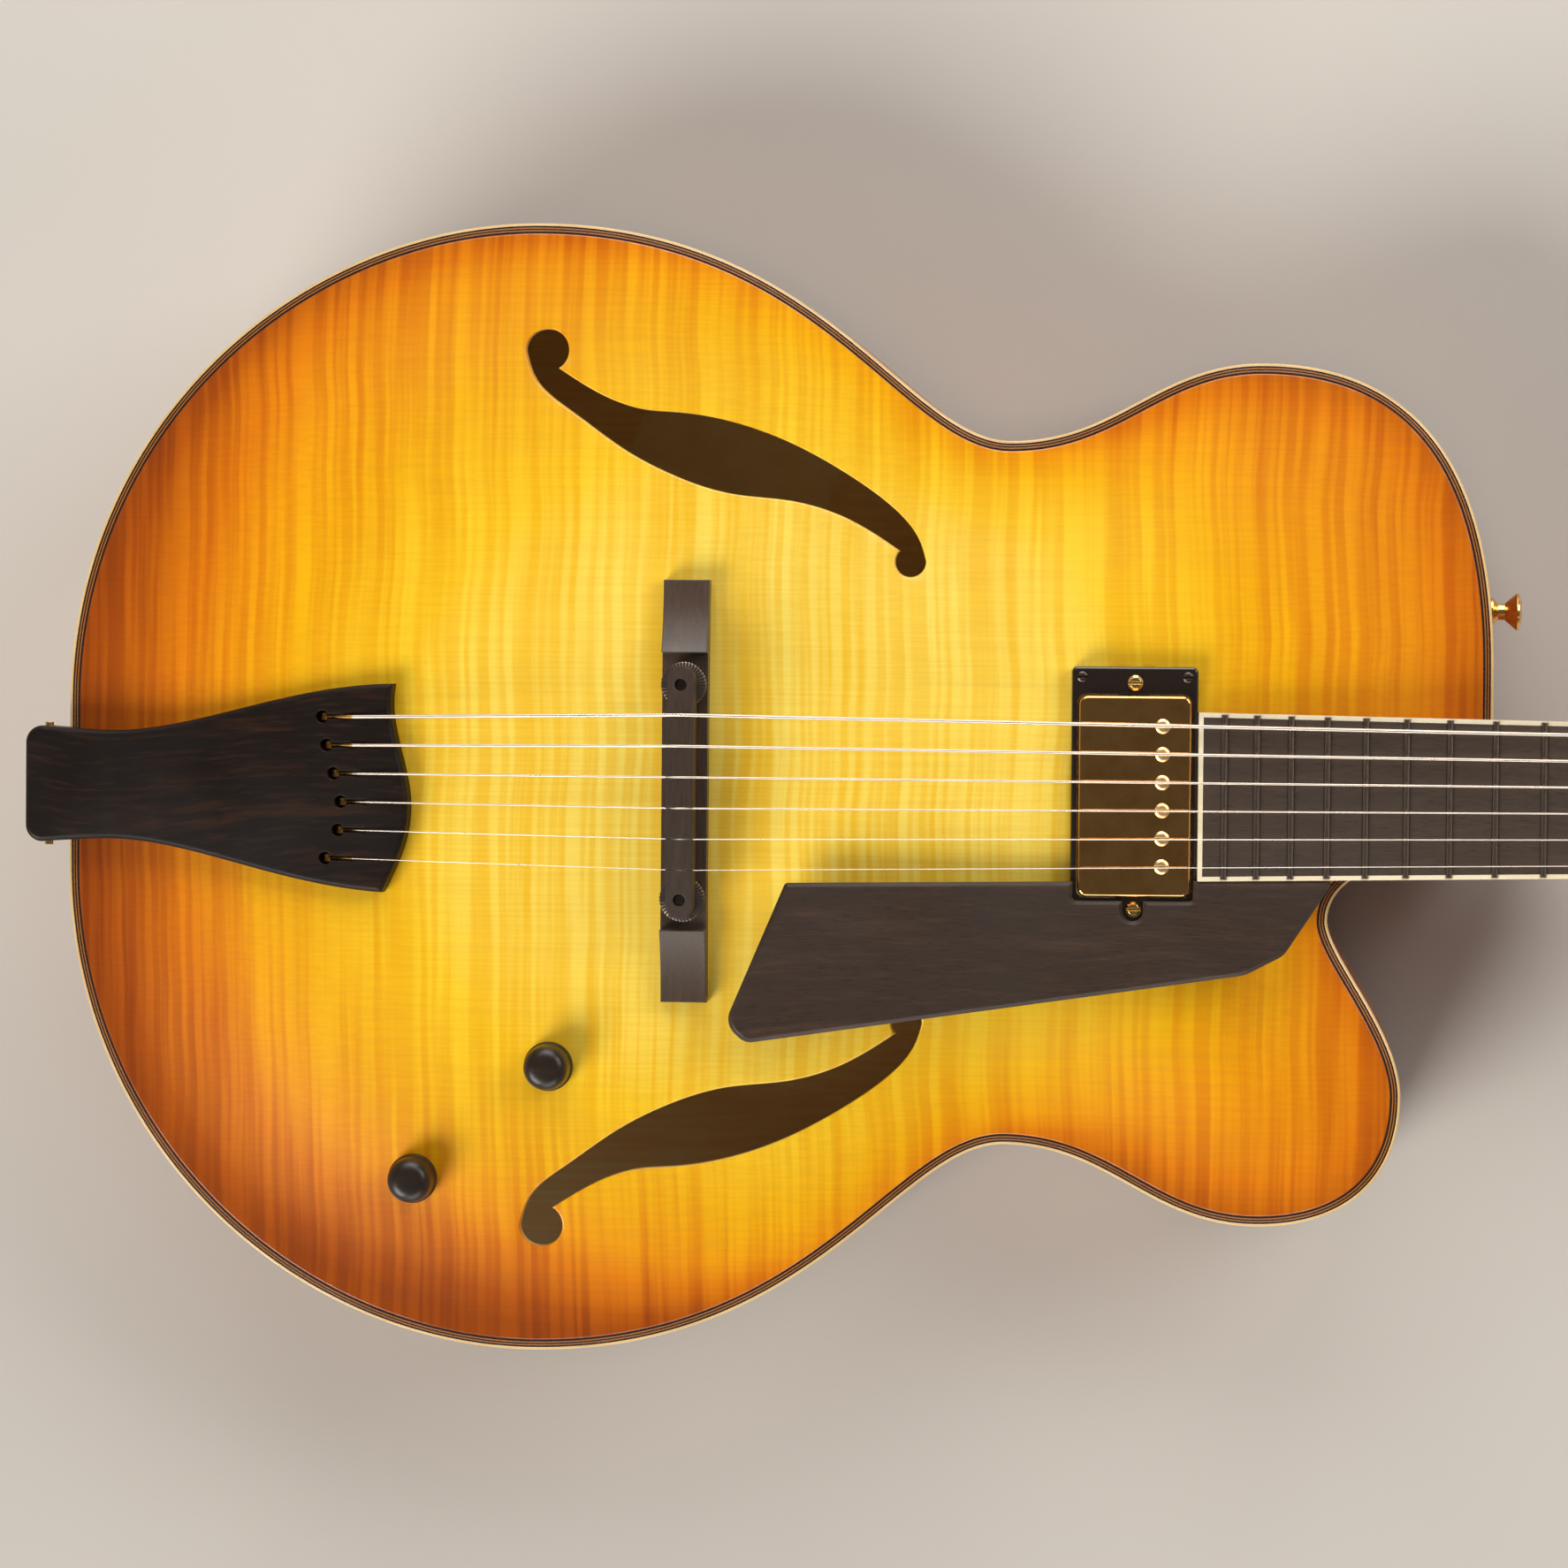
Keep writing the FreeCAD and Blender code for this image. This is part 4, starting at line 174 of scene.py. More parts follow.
def smooth_curve(points: Sequence[Pair], count: int) -> Array:
    """Natural cubic spline through plan points, spaced by chord length.

    Args:
        points: Points that the curve passes through.
        count: Number of points wanted along it.

    Returns:
        Points along the curve, first and last included.
    """
    knots = np.array(points, dtype=float)
    steps = np.linalg.norm(np.diff(knots, axis=0), axis=1)
    t = np.concatenate([[0.0], np.cumsum(steps)])
    size = len(knots)
    system = np.eye(size)
    right = np.zeros((size, 2))
    inner = np.arange(1, size - 1)
    system[inner, inner - 1] = steps[:-1]
    system[inner, inner] = 2 * (steps[:-1] + steps[1:])
    system[inner, inner + 1] = steps[1:]
    slope = np.diff(knots, axis=0) / steps[:, None]
    right[inner] = 6 * (slope[1:] - slope[:-1])
    bend = np.linalg.solve(system, right)
    u = np.linspace(0.0, t[-1], count)
    k = np.clip(np.searchsorted(t, u, side="right") - 1, 0, size - 2)
    h = steps[k][:, None]
    back = (u - t[k])[:, None]
    fore = h - back
    curve = (bend[k] * fore ** 3 + bend[k + 1] * back ** 3) / (6 * h)
    curve += (knots[k] / h - bend[k] * h / 6) * fore + (knots[k + 1] / h - bend[k + 1] * h / 6) * back
    return curve


def arc(centre: Pair, radius: float, start: float, end: float, count: int) -> Array:
    """Points on a circle between two angles in degrees, both ends included."""
    angle = np.radians(np.linspace(start, end, count))
    return np.array(centre) + radius * np.stack([np.cos(angle), np.sin(angle)], axis=1)


def inside(points: Array, loop: Array) -> Array:
    """Even-odd test of plan points against a closed loop, all points at once.

    Args:
        points: Plan points.
        loop: Corners of the loop.

    Returns:
        True for each point inside the loop.
    """
    x, y = points[:, :1], points[:, 1:]
    x0, y0 = loop[:, 0], loop[:, 1]
    x1, y1 = np.roll(x0, -1), np.roll(y0, -1)
    spans = (y0 > y) != (y1 > y)
    rise = np.where(y1 == y0, 1e-12, y1 - y0)
    crossing = x < x0 + (y - y0) * (x1 - x0) / rise
    return (spans & crossing).sum(axis=1) % 2 == 1


def loop_normals(loop: Array) -> Array:
    """Unit vectors square to a closed plan loop, pointing to its left.

    Args:
        loop: Points of the loop.

    Returns:
        One vector for each point.
    """
    way = np.roll(loop, -1, axis=0) - np.roll(loop, 1, axis=0)
    way /= np.linalg.norm(way, axis=1)[:, None]
    return np.stack([-way[:, 1], way[:, 0]], axis=1)


# Materials


class Graph:
    """A material's nodes, with short ways to add the usual ones."""

    bevel_samples: int = 4

    def __init__(self, name: str) -> None:
        """Start an empty material with one principled shader.

        Args:
            name: Name of the material.
        """
        self.material = bpy.data.materials.new(name)
        self.material.use_nodes = True
        self.tree = self.material.node_tree
        self.tree.nodes.clear()
        self.shader = self.add("ShaderNodeBsdfPrincipled")
        output = self.add("ShaderNodeOutputMaterial")
        self.tree.links.new(self.shader.outputs[0], output.inputs[0])
        self.place = self.add("ShaderNodeTexCoord").outputs["Object"]

    def add(self, kind: str, inputs: dict | None = None, **settings: object) -> bpy.types.Node:
        """Add a node.

        Args:
            kind: Blender's name of the node type.
            inputs: Values or sockets by input name or number.
            settings: Properties of the node.

        Returns:
            The new node.
        """
        node = self.tree.nodes.new(kind)
        for key, value in settings.items():
            setattr(node, key, value)
        for key, value in (inputs or {}).items():
            self.feed(node.inputs[key], value)
        return node

    def feed(self, socket: Socket, value: Value) -> None:
        """Link another socket into an input, or set the input itself.

        Args:
            socket: The input.
            value: Socket, number, vector or opaque colour.
        """
        if isinstance(value, Socket):
            self.tree.links.new(value, socket)
        else:
            socket.default_value = (*value, 1.0) if socket.type == "RGBA" else value

    def scaled(self, scale: Sequence[float], source: Socket | None = None) -> Socket:
        """Object coordinates, or another vector, times a scale for each axis."""
        vector = self.place if source is None else source
        return self.add("ShaderNodeMapping", {"Vector": vector, "Scale": scale}).outputs[0]

    def along_grain(self, grain: Grain, across: float, along: float, source: Socket | None = None) -> Socket:
        """Coordinates for fibres: across many steps a metre, along few."""
        return self.scaled(tuple(across - (across - along) * np.array(grain.value)), source)

    def noise(self, vector: Socket, scale: float = 1.0, detail: float = 2.0,
              roughness: float = 0.5) -> Socket:
        """Soft random pattern from 0 to 1."""
        inputs = {"Vector": vector, "Scale": scale, "Detail": detail, "Roughness": roughness}
        return self.add("ShaderNodeTexNoise", inputs).outputs["Fac"]

    def ramp(self, value: Socket, stops: Sequence[Stop]) -> Socket:
        """Colour that runs through the stops as the value rises.

        Args:
            value: Number from 0 to 1.
            stops: Places and the colours there.

        Returns:
            The colour.
        """
        node = self.add("ShaderNodeValToRGB", {"Fac": value})
        elements = node.color_ramp.elements
        while len(elements) < len(stops):
            elements.new(0.5)
        for element, (place, colour) in zip(elements, stops):
            element.position = place
            element.color = (*colour, 1.0)
        return node.outputs["Color"]

    def step(self, value: Socket, low: float, high: float, to_low: float = 0.0,
             to_high: float = 1.0) -> Socket:
        """Stretch the values between low and high over a new range, clamped."""
        inputs = {"Value": value, "From Min": low, "From Max": high, "To Min": to_low, "To Max": to_high}
        return self.add("ShaderNodeMapRange", inputs, interpolation_type="SMOOTHSTEP").outputs["Result"]

    def maths(self, kind: str, a: Value, b: Value) -> Socket:
        """One sum, product or other operation on two numbers."""
        return self.add("ShaderNodeMath", {0: a, 1: b}, operation=kind).outputs[0]

    def mix(self, share: Value, a: Value, b: Value, kind: str = "MIX") -> Socket:
        """Mix two colours by a share of 0 to 1."""
        node = self.add("ShaderNodeMix", {0: share, 6: a, 7: b}, data_type="RGBA", blend_type=kind)
        return node.outputs[2]

    def number(self, name: str) -> Socket:
        """A number stored on the points of the piece."""
        return self.add("ShaderNodeAttribute", attribute_name=name).outputs["Fac"]

    def shifted(self, amount: Socket, way: Sequence[float]) -> Socket:
        """Object coordinates moved along a direction by a varying amount.

        Args:
            amount: How far, in metres.
            way: The direction.

        Returns:
            The moved coordinates.
        """
        inputs = {0: tuple(way), "Scale": amount}
        shift = self.add("ShaderNodeVectorMath", inputs, operation="SCALE").outputs[0]
        return self.add("ShaderNodeVectorMath", {0: self.place, 1: shift}, operation="ADD").outputs[0]

    def bump(self, height: Socket, depth: float, strength: float, worn: float = 0.0) -> None:
        """Raise the surface by a pattern.

        Args:
            height: The pattern, 0 to 1.
            depth: Its depth in metres.
            strength: Share of it that shows.
            worn: Radius in metres to which sharp edges look rounded.
        """
        inputs = {"Height": height, "Distance": depth, "Strength": strength}
        if worn:
            bevel = self.add("ShaderNodeBevel", {"Radius": worn}, samples=self.bevel_samples)
            inputs["Normal"] = bevel.outputs[0]
        node = self.add("ShaderNodeBump", inputs)
        self.tree.links.new(node.outputs[0], self.shader.inputs["Normal"])

    def finish(self, colour: Value, roughness: Value, **values: float) -> bpy.types.Material:
        """Set the shader's inputs.

        Args:
            colour: Base colour or its socket.
            roughness: Roughness or its socket.
            values: Other inputs, with _ for a space, set on the shader itself.

        Returns:
            The finished material.
        """
        for key, value in {"Base Color": colour, "Roughness": roughness, **values}.items():
            self.feed(self.shader.inputs[key.replace("_", " ")], value)
        return self.material


@dataclass(frozen=True)
class Lacquer:
    """Clear gloss over wood."""

    coat: float = 0.55
    coat_roughness: float = 0.1
    coat_bend: float = 1.5
    wood_shine: float = 0.15

    def apply(self, graph: Graph, colour: Socket, roughness: Value) -> bpy.types.Material:
        """Finish a wood's colour with the gloss coat."""
        return graph.finish(colour, roughness, Coat_Weight=self.coat, Coat_Roughness=self.coat_roughness,
                            Coat_IOR=self.coat_bend, Specular_IOR_Level=self.wood_shine)


@dataclass(frozen=True)
class FlamedMaple:
    """Lacquered maple with bright and dark stripes square to the fibres."""

    name: str
    light: tuple[Stop, ...]
    shade: tuple[Stop, ...]
    tone: str = ""
    stripe_axis: str = ""
    stripe_width: float = 0.0029
    stripe_length: float = 0.15
    figure: float = 1.0
    fine_share: float = 0.7
    wander: float = 0.007
    side_wander: float = 0.1
    fibre_shade: Colour = (0.45, 0.22, 0.05)
    fleck_shade: Colour = (0.35, 0.15, 0.02)
    lacquer: Lacquer = Lacquer()

    def material(self) -> bpy.types.Material:
        """The tone runs through two ramps that the stripes mix; fibres and flecks darken the colour.

        Returns:
            The finished material.
        """
        graph = Graph(self.name)
        mottle = graph.noise(graph.scaled((38.0, 30.0, 30.0)))
        tone = graph.number(self.tone) if self.tone else graph.step(mottle, 0.0, 1.0, 0.35, 0.65)
        figure = self.stripes(graph, mottle)
        colour = graph.mix(figure, graph.ramp(tone, self.shade), graph.ramp(tone, self.light))
        fibre = graph.noise(graph.scaled((14.0, 900.0, 900.0)), detail=3.0)
        colour = graph.mix(graph.step(fibre, 0.3, 0.7, 0.0, 0.10), colour, self.fibre_shade, "MULTIPLY")
        flecks = graph.noise(graph.scaled((700.0, 2600.0, 700.0)), detail=1.0)
        colour = graph.mix(graph.step(flecks, 0.66, 0.8, 0.0, 0.16), colour, self.fleck_shade, "MULTIPLY")
        orange_peel = graph.noise(graph.place, scale=420.0, detail=1.0)
        graph.bump(orange_peel, 0.00002, 0.2)
        return self.lacquer.apply(graph, colour, graph.step(fibre, 0.2, 0.8, 0.32, 0.42))

    def stripes(self, graph: Graph, mottle: Socket) -> Socket:
        """Fine and broad noises stretched along y, or across a stored distance, bent by a slower noise.

        Args:
            graph: The material's nodes.
            mottle: Where the figure is stronger and weaker.

        Returns:
            The figure, about 0.5.
        """
        wander = graph.noise(graph.scaled((5.0, 16.0, 9.0)), detail=1.5)
        if self.stripe_axis:
            aside = graph.maths("MULTIPLY", wander, self.side_wander)
            inputs = {0: graph.number(self.stripe_axis), 1: aside}
            vector = graph.add("ShaderNodeCombineXYZ", inputs).outputs[0]
        else:
            vector = graph.shifted(graph.maths("MULTIPLY", wander, self.wander), (1.0, 0.0, 0.0))
        across, length = 1.0 / self.stripe_width, 1.0 / self.stripe_length
        fine = graph.noise(graph.scaled((across, length, length), vector), detail=1.5)
        broad = graph.noise(graph.scaled((across * 0.21, length * 0.7, length), vector), detail=1.0)
        figure = graph.maths("ADD", graph.step(fine, 0.36, 0.64, 0.0, self.fine_share),
                             graph.step(broad, 0.35, 0.65, 0.0, 1.0 - self.fine_share))
        fade = graph.step(mottle, 0.25, 0.75, 0.6 * self.figure, self.figure)
        return graph.maths("ADD", graph.maths("MULTIPLY", graph.maths("SUBTRACT", figure, 0.5), fade), 0.5)


@dataclass(frozen=True)
class Ebony:
    """Dark open-pored wood with brown streaks along its fibres, rubbed to a low sheen."""

    name: str
    dark: Colour
    streak: Colour
    grain: Grain
    sheen: float = 0.42
    streaks: float = 0.55
    worn: float = 0.0004
    shine: float = 0.35
    wander: float = 0.018

    def material(self) -> bpy.types.Material:
        """Streaks, lines and pores are noises stretched along the fibres; pores also sink the surface.

        Returns:
            The finished material.
        """
        graph = Graph(self.name)
        bend = graph.noise(graph.scaled((11.0, 11.0, 11.0)), detail=1.0)
        aside = np.array([1.0, 1.0, 0.0]) - np.array(self.grain.value)
        vector = graph.shifted(graph.maths("MULTIPLY", bend, self.wander), aside)
        streak = graph.noise(graph.along_grain(self.grain, 130.0, 8.0, vector), detail=4.0, roughness=0.6)
        lines = graph.noise(graph.along_grain(self.grain, 640.0, 20.0, vector), detail=3.0, roughness=0.55)
        pores = graph.noise(graph.along_grain(self.grain, 2300.0, 85.0), roughness=0.6)
        cloud = graph.noise(graph.scaled((26.0, 26.0, 26.0)))
        clouded, hollow = (tuple(part * share for part in self.dark) for share in (0.6, 0.35))
        colour = graph.mix(graph.step(streak, 0.5, 0.78, 0.0, self.streaks), self.dark, self.streak)
        colour = graph.mix(graph.step(lines, 0.48, 0.72, 0.0, 0.5 * self.streaks), colour, self.streak)
        colour = graph.mix(graph.step(cloud, 0.3, 0.7, 0.0, 0.35), colour, clouded)
        colour = graph.mix(graph.step(pores, 0.52, 0.7, 0.0, 0.5), colour, hollow)
        graph.bump(graph.step(pores, 0.5, 0.72, 1.0, 0.0), 0.00003, 0.3, self.worn)
        rough = graph.step(cloud, 0.25, 0.75, self.sheen - 0.06, self.sheen + 0.08)
        return graph.finish(colour, rough, Specular_IOR_Level=self.shine)


@dataclass(frozen=True)
class Metal:
    """Polished or plated metal with fine wipe marks and a faint haze."""

    name: str
    bright: Colour
    dull: Colour
    roughness: float
    haze: float = 0.1

    def material(self) -> bpy.types.Material:
        """Haze is a soft noise over roughness and colour; wipe marks are a stretched one in the bump.

        Returns:
            The finished material.
        """
        graph = Graph(self.name)
        haze = graph.noise(graph.place, scale=90.0, detail=4.0, roughness=0.65)
        wipe = graph.noise(graph.scaled((260.0, 4200.0, 2600.0)))
        colour = graph.mix(graph.step(haze, 0.35, 0.75), self.bright, self.dull)
        rough = graph.step(haze, 0.3, 0.8, self.roughness, self.roughness + self.haze)
        graph.bump(wipe, 0.00001, 0.12, 0.0002)
        return graph.finish(colour, rough, Metallic=1.0)


@dataclass(frozen=True)
class StringWire:
    """String with a brass ball end: plain wire, or a core with fine wire wound round it."""

    name: str
    colour: Colour
    ridge: float
    roughness: float
    brass: Colour = (0.42, 0.20, 0.045)
    brass_end: float = -0.4062
    brass_fade: float = 0.001
    pitch: float = 0.00042
    ridge_depth: float = 0.00006

    def material(self) -> bpy.types.Material:
        """Ridges are a sine along x, the strings' own direction; brass ends where x passes a place.

        Returns:
            The finished material.
        """
        graph = Graph(self.name)
        inputs = {"Vector": graph.place, "Scale": math.tau / (WAVE_RADIANS * self.pitch)}
        wave = graph.add("ShaderNodeTexWave", inputs, bands_direction="X").outputs["Fac"]
        worn = graph.noise(graph.place, scale=45.0)
        dull = tuple(part * 0.7 for part in self.colour)
        colour = graph.mix(graph.step(worn, 0.3, 0.7, 0.0, 0.35), self.colour, dull)
        along = graph.add("ShaderNodeSeparateXYZ", {0: graph.place}).outputs[0]
        string = graph.step(along, self.brass_end, self.brass_end + self.brass_fade)
        colour = graph.mix(string, self.brass, colour)
        graph.bump(wave, self.ridge_depth, self.ridge)
        rough = graph.step(worn, 0.3, 0.7, self.roughness, self.roughness + 0.13)
        return graph.finish(colour, rough, Metallic=0.85)


@dataclass(frozen=True)
class Moulded:
    """Smooth plastic, celluloid, bone or paper: one colour with clouds, flecks and a little unevenness."""

    name: str
    colour: Colour
    cloud: Colour
    roughness: float
    cloud_scale: float = 60.0
    cloud_share: float = 0.5
    fleck_scale: float = 900.0
    fleck_depth: float = 0.00002
    coat: float = 0.0

    def material(self) -> bpy.types.Material:
        """Clouds mix the two colours; flecks move the roughness and the surface.

        Returns:
            The finished material.
        """
        graph = Graph(self.name)
        clouds = graph.noise(graph.place, scale=self.cloud_scale, detail=4.0, roughness=0.6)
        flecks = graph.noise(graph.place, scale=self.fleck_scale)
        colour = graph.mix(graph.step(clouds, 0.3, 0.75, 0.0, self.cloud_share), self.colour, self.cloud)
        rough = graph.step(flecks, 0.3, 0.7, self.roughness - 0.04, self.roughness + 0.06)
        graph.bump(flecks, self.fleck_depth, 0.4, 0.0003)
        return graph.finish(colour, rough, Coat_Weight=self.coat, Coat_Roughness=0.08)


@dataclass(frozen=True)
class BareWood:
    """Unfinished inner wood with plain fibres."""

    name: str
    pale: Colour
    dark: Colour
    grain: Grain = Grain.ALONG

    def material(self) -> bpy.types.Material:
        """Fibres are a noise stretched along the grain.

        Returns:
            The finished material.
        """
        graph = Graph(self.name)
        rings = graph.noise(graph.along_grain(self.grain, 420.0, 8.0), detail=3.0, roughness=0.6)
        fibre = graph.noise(graph.along_grain(self.grain, 2600.0, 60.0))
        colour = graph.mix(graph.step(rings, 0.3, 0.7), self.pale, self.dark)
        graph.bump(fibre, 0.00006, 0.5)
        return graph.finish(colour, graph.step(fibre, 0.3, 0.7, 0.6, 0.75))


# Top and back take their tone from their points: the stain with painted shade.
TOP_FINISH = FlamedMaple(
    "top_lacquer",
    light=((0.0, srgb(168, 78, 2)), (0.1, srgb(188, 92, 2)), (0.25, srgb(232, 134, 4)),
           (0.35, srgb(244, 166, 8)), (0.5, srgb(247, 188, 8)), (0.7, srgb(252, 211, 46)),
           (0.86, srgb(254, 227, 104))),
    shade=((0.0, srgb(132, 54, 0)), (0.1, srgb(146, 60, 0)), (0.25, srgb(194, 94, 0)),
           (0.35, srgb(220, 126, 0)), (0.5, srgb(228, 150, 0)), (0.7, srgb(240, 180, 8)),
           (0.86, srgb(245, 195, 44))),
    tone="burst_and_shade")
BACK_FINISH = FlamedMaple(
    "back_lacquer",
    light=((0.0, srgb(150, 68, 10)), (0.3, srgb(196, 104, 18)), (0.8, srgb(226, 146, 44))),
    shade=((0.0, srgb(104, 40, 4)), (0.3, srgb(146, 66, 8)), (0.8, srgb(184, 98, 20))),
    tone="burst_and_shade", stripe_width=0.0042)
SIDE_FINISH = FlamedMaple(
    "side_lacquer", light=((0.0, srgb(196, 104, 22)), (1.0, srgb(214, 130, 40))),
    shade=((0.0, srgb(120, 52, 8)), (1.0, srgb(150, 70, 14))), stripe_axis="along", stripe_width=0.0052,
    figure=0.7)
NECK_FINISH = FlamedMaple(
    "neck_lacquer", light=((0.0, srgb(190, 100, 22)), (1.0, srgb(208, 124, 36))),
    shade=((0.0, srgb(122, 54, 8)), (1.0, srgb(150, 70, 14))), stripe_width=0.0052, stripe_length=0.09,
    figure=0.7)
FINISHES = {
    "top": TOP_FINISH,
    "back": BACK_FINISH,
    "side": SIDE_FINISH,
    "neck": NECK_FINISH,
    "hole_wall": BareWood("hole_wall", srgb(250, 206, 124), srgb(236, 180, 86)),
    "inner_wood": BareWood("inner_wood", srgb(255, 232, 176), srgb(251, 214, 144)),
    "ivory_binding": Moulded("ivory_binding", srgb(246, 234, 204), srgb(232, 210, 164), 0.28, coat=0.4),
    "edge_cream": Moulded("edge_cream", srgb(232, 196, 134), srgb(208, 164, 98), 0.3, coat=0.5),
    "line_dark": Moulded("line_dark", srgb(42, 20, 8), srgb(28, 13, 6), 0.3, coat=0.5),
    "line_tan": Moulded("line_tan", srgb(170, 106, 40), srgb(146, 84, 28), 0.3, coat=0.5),
    "board": Ebony("board_ebony", srgb(70, 57, 48), srgb(100, 80, 65), Grain.ALONG, 0.44, 0.4),
    "guard": Ebony("guard_ebony", srgb(58, 45, 37), srgb(94, 70, 55), Grain.ALONG, 0.4, 0.45, 0.0007),
    "tailpiece": Ebony("tailpiece_ebony", srgb(23, 15, 11), srgb(72, 42, 22), Grain.ALONG, 0.42, 0.65,
                       0.0009, 0.19),
    "bridge": Ebony("bridge_ebony", srgb(76, 60, 48), srgb(112, 88, 70), Grain.ACROSS, 0.34, 0.35,
                    0.0007, 0.46),
    "saddle": Ebony("saddle_ebony", srgb(60, 47, 38), srgb(92, 70, 54), Grain.ACROSS, 0.4, 0.35, 0.0006),
    "ebony": Ebony("trim_ebony", srgb(32, 25, 20), srgb(70, 48, 32), Grain.ALONG, 0.36, 0.5),
    "knob": Ebony("knob_ebony", srgb(40, 30, 24), srgb(66, 48, 36), Grain.ALONG, 0.32, 0.35),
    "gold": Metal("gold_plate", (0.90, 0.58, 0.20), (0.72, 0.42, 0.13), 0.14),
    "cover_gold": Metal("cover_gold", (0.74, 0.39, 0.125), (0.60, 0.29, 0.085), 0.05, 0.04),
    "pole_gold": Metal("pole_gold", (1.0, 0.67, 0.32), (0.92, 0.55, 0.22), 0.32),
    "screw_black": Metal("screw_black", (0.09, 0.07, 0.055), (0.05, 0.04, 0.03), 0.34),
    "dark_metal": Metal("dark_metal", (0.20, 0.155, 0.125), (0.11, 0.085, 0.07), 0.3),
    "steel": StringWire("plain_wire", (0.72, 0.64, 0.56), 0.0, 0.24),
    "fret_metal": Metal("fret_metal", (0.36, 0.28, 0.22), (0.25, 0.19, 0.15), 0.2),
    "string_wound": StringWire("wound_wire", (0.66, 0.57, 0.48), 0.6, 0.25),
    "black_plastic": Moulded("black_plastic", srgb(34, 22, 15), srgb(24, 16, 12), 0.2, coat=0.5),
    "bone": Moulded("bone", srgb(236, 226, 200), srgb(214, 198, 160), 0.4),
    "paper": Moulded("paper", srgb(255, 238, 194), srgb(246, 218, 162), 0.8, fleck_depth=0.00008),
    "coil": Moulded("coil_tape", srgb(30, 24, 20), srgb(60, 36, 18), 0.5, cloud_scale=300.0),
}


class Workshop:
    """Keeps one material for each finish, and the smooth skin, and dresses pieces with them."""

    def __init__(self) -> None:
        """Start with no materials made."""
        self.made: dict[str, bpy.types.Material] = {}
        self.skin = smooth_skin(SMOOTH_ANGLE)

    def material(self, name: str) -> bpy.types.Material:
        """The material of a finish, made at its first use.

        Args:
            name: Name of the finish.

        Returns:
            The material.
        """
        if name not in self.made:
            self.made[name] = FINISHES[name].material()
        return self.made[name]

    def dress(self, piece: bpy.types.Object, *names: str) -> None:
        """Give a piece its finishes.

        Args:
            piece: The piece.
            names: Finishes in the order of its kinds of face.
        """
        if piece.data.materials:
            piece.data.materials.clear()
        for name in names:
            piece.data.materials.append(self.material(name))


def smooth_skin(angle: float) -> bpy.types.NodeTree:
    """Modifier tree that joins loose triangles and smooths all edges flatter than an angle.

    Args:
        angle: Largest smoothed angle between two faces, in degrees.

    Returns:
        The node tree for a modifier.
    """
    tree = bpy.data.node_groups.new("smooth_skin_%d" % angle, "GeometryNodeTree")
    tree.interface.new_socket("Geometry", in_out="INPUT", socket_type="NodeSocketGeometry")
    tree.interface.new_socket("Geometry", in_out="OUTPUT", socket_type="NodeSocketGeometry")
    start = tree.nodes.new("NodeGroupInput")
    end = tree.nodes.new("NodeGroupOutput")
    merge = tree.nodes.new("GeometryNodeMergeByDistance")
    merge.inputs["Distance"].default_value = WELD
    bend = tree.nodes.new("GeometryNodeInputMeshEdgeAngle")
    flat = tree.nodes.new("FunctionNodeCompare")
    flat.data_type = "FLOAT"
    flat.operation = "LESS_THAN"
    flat.inputs[1].default_value = math.radians(angle)
    faces = tree.nodes.new("GeometryNodeSetShadeSmooth")
    edges = tree.nodes.new("GeometryNodeSetShadeSmooth")
    edges.domain = "EDGE"
    links = ((start, merge.inputs[0]), (merge, faces.inputs["Geometry"]), (faces, edges.inputs["Geometry"]),
             (bend, flat.inputs[0]), (flat, edges.inputs["Shade Smooth"]), (edges, end.inputs[0]))
    for node, socket in links:
        tree.links.new(node.outputs[0], socket)
    return tree


@dataclass
class Assembly:
    """Pieces that are fitted together, dressed in one shop."""

    shop: Workshop
    wears: Wears = ()

    def build(self) -> None:
        """Give pieces of the frame a finish and a smooth skin; each row names a finish, then its pieces."""
        for finish, *names in self.wears:
            for name in names:
                node = NODES[name]
                self.shop.dress(node, finish)
                node.modifiers.new("smooth_skin", "NODES").node_group = self.shop.skin
                LOG.info("%s wears %s", name, finish)


# The body


@dataclass(frozen=True)
class Knot:
    """Key point of the body edge, with its heading and the pull of the curve before and after it."""

    x: float
    y: float
    heading: Heading
    pull_in: float
    pull_out: float


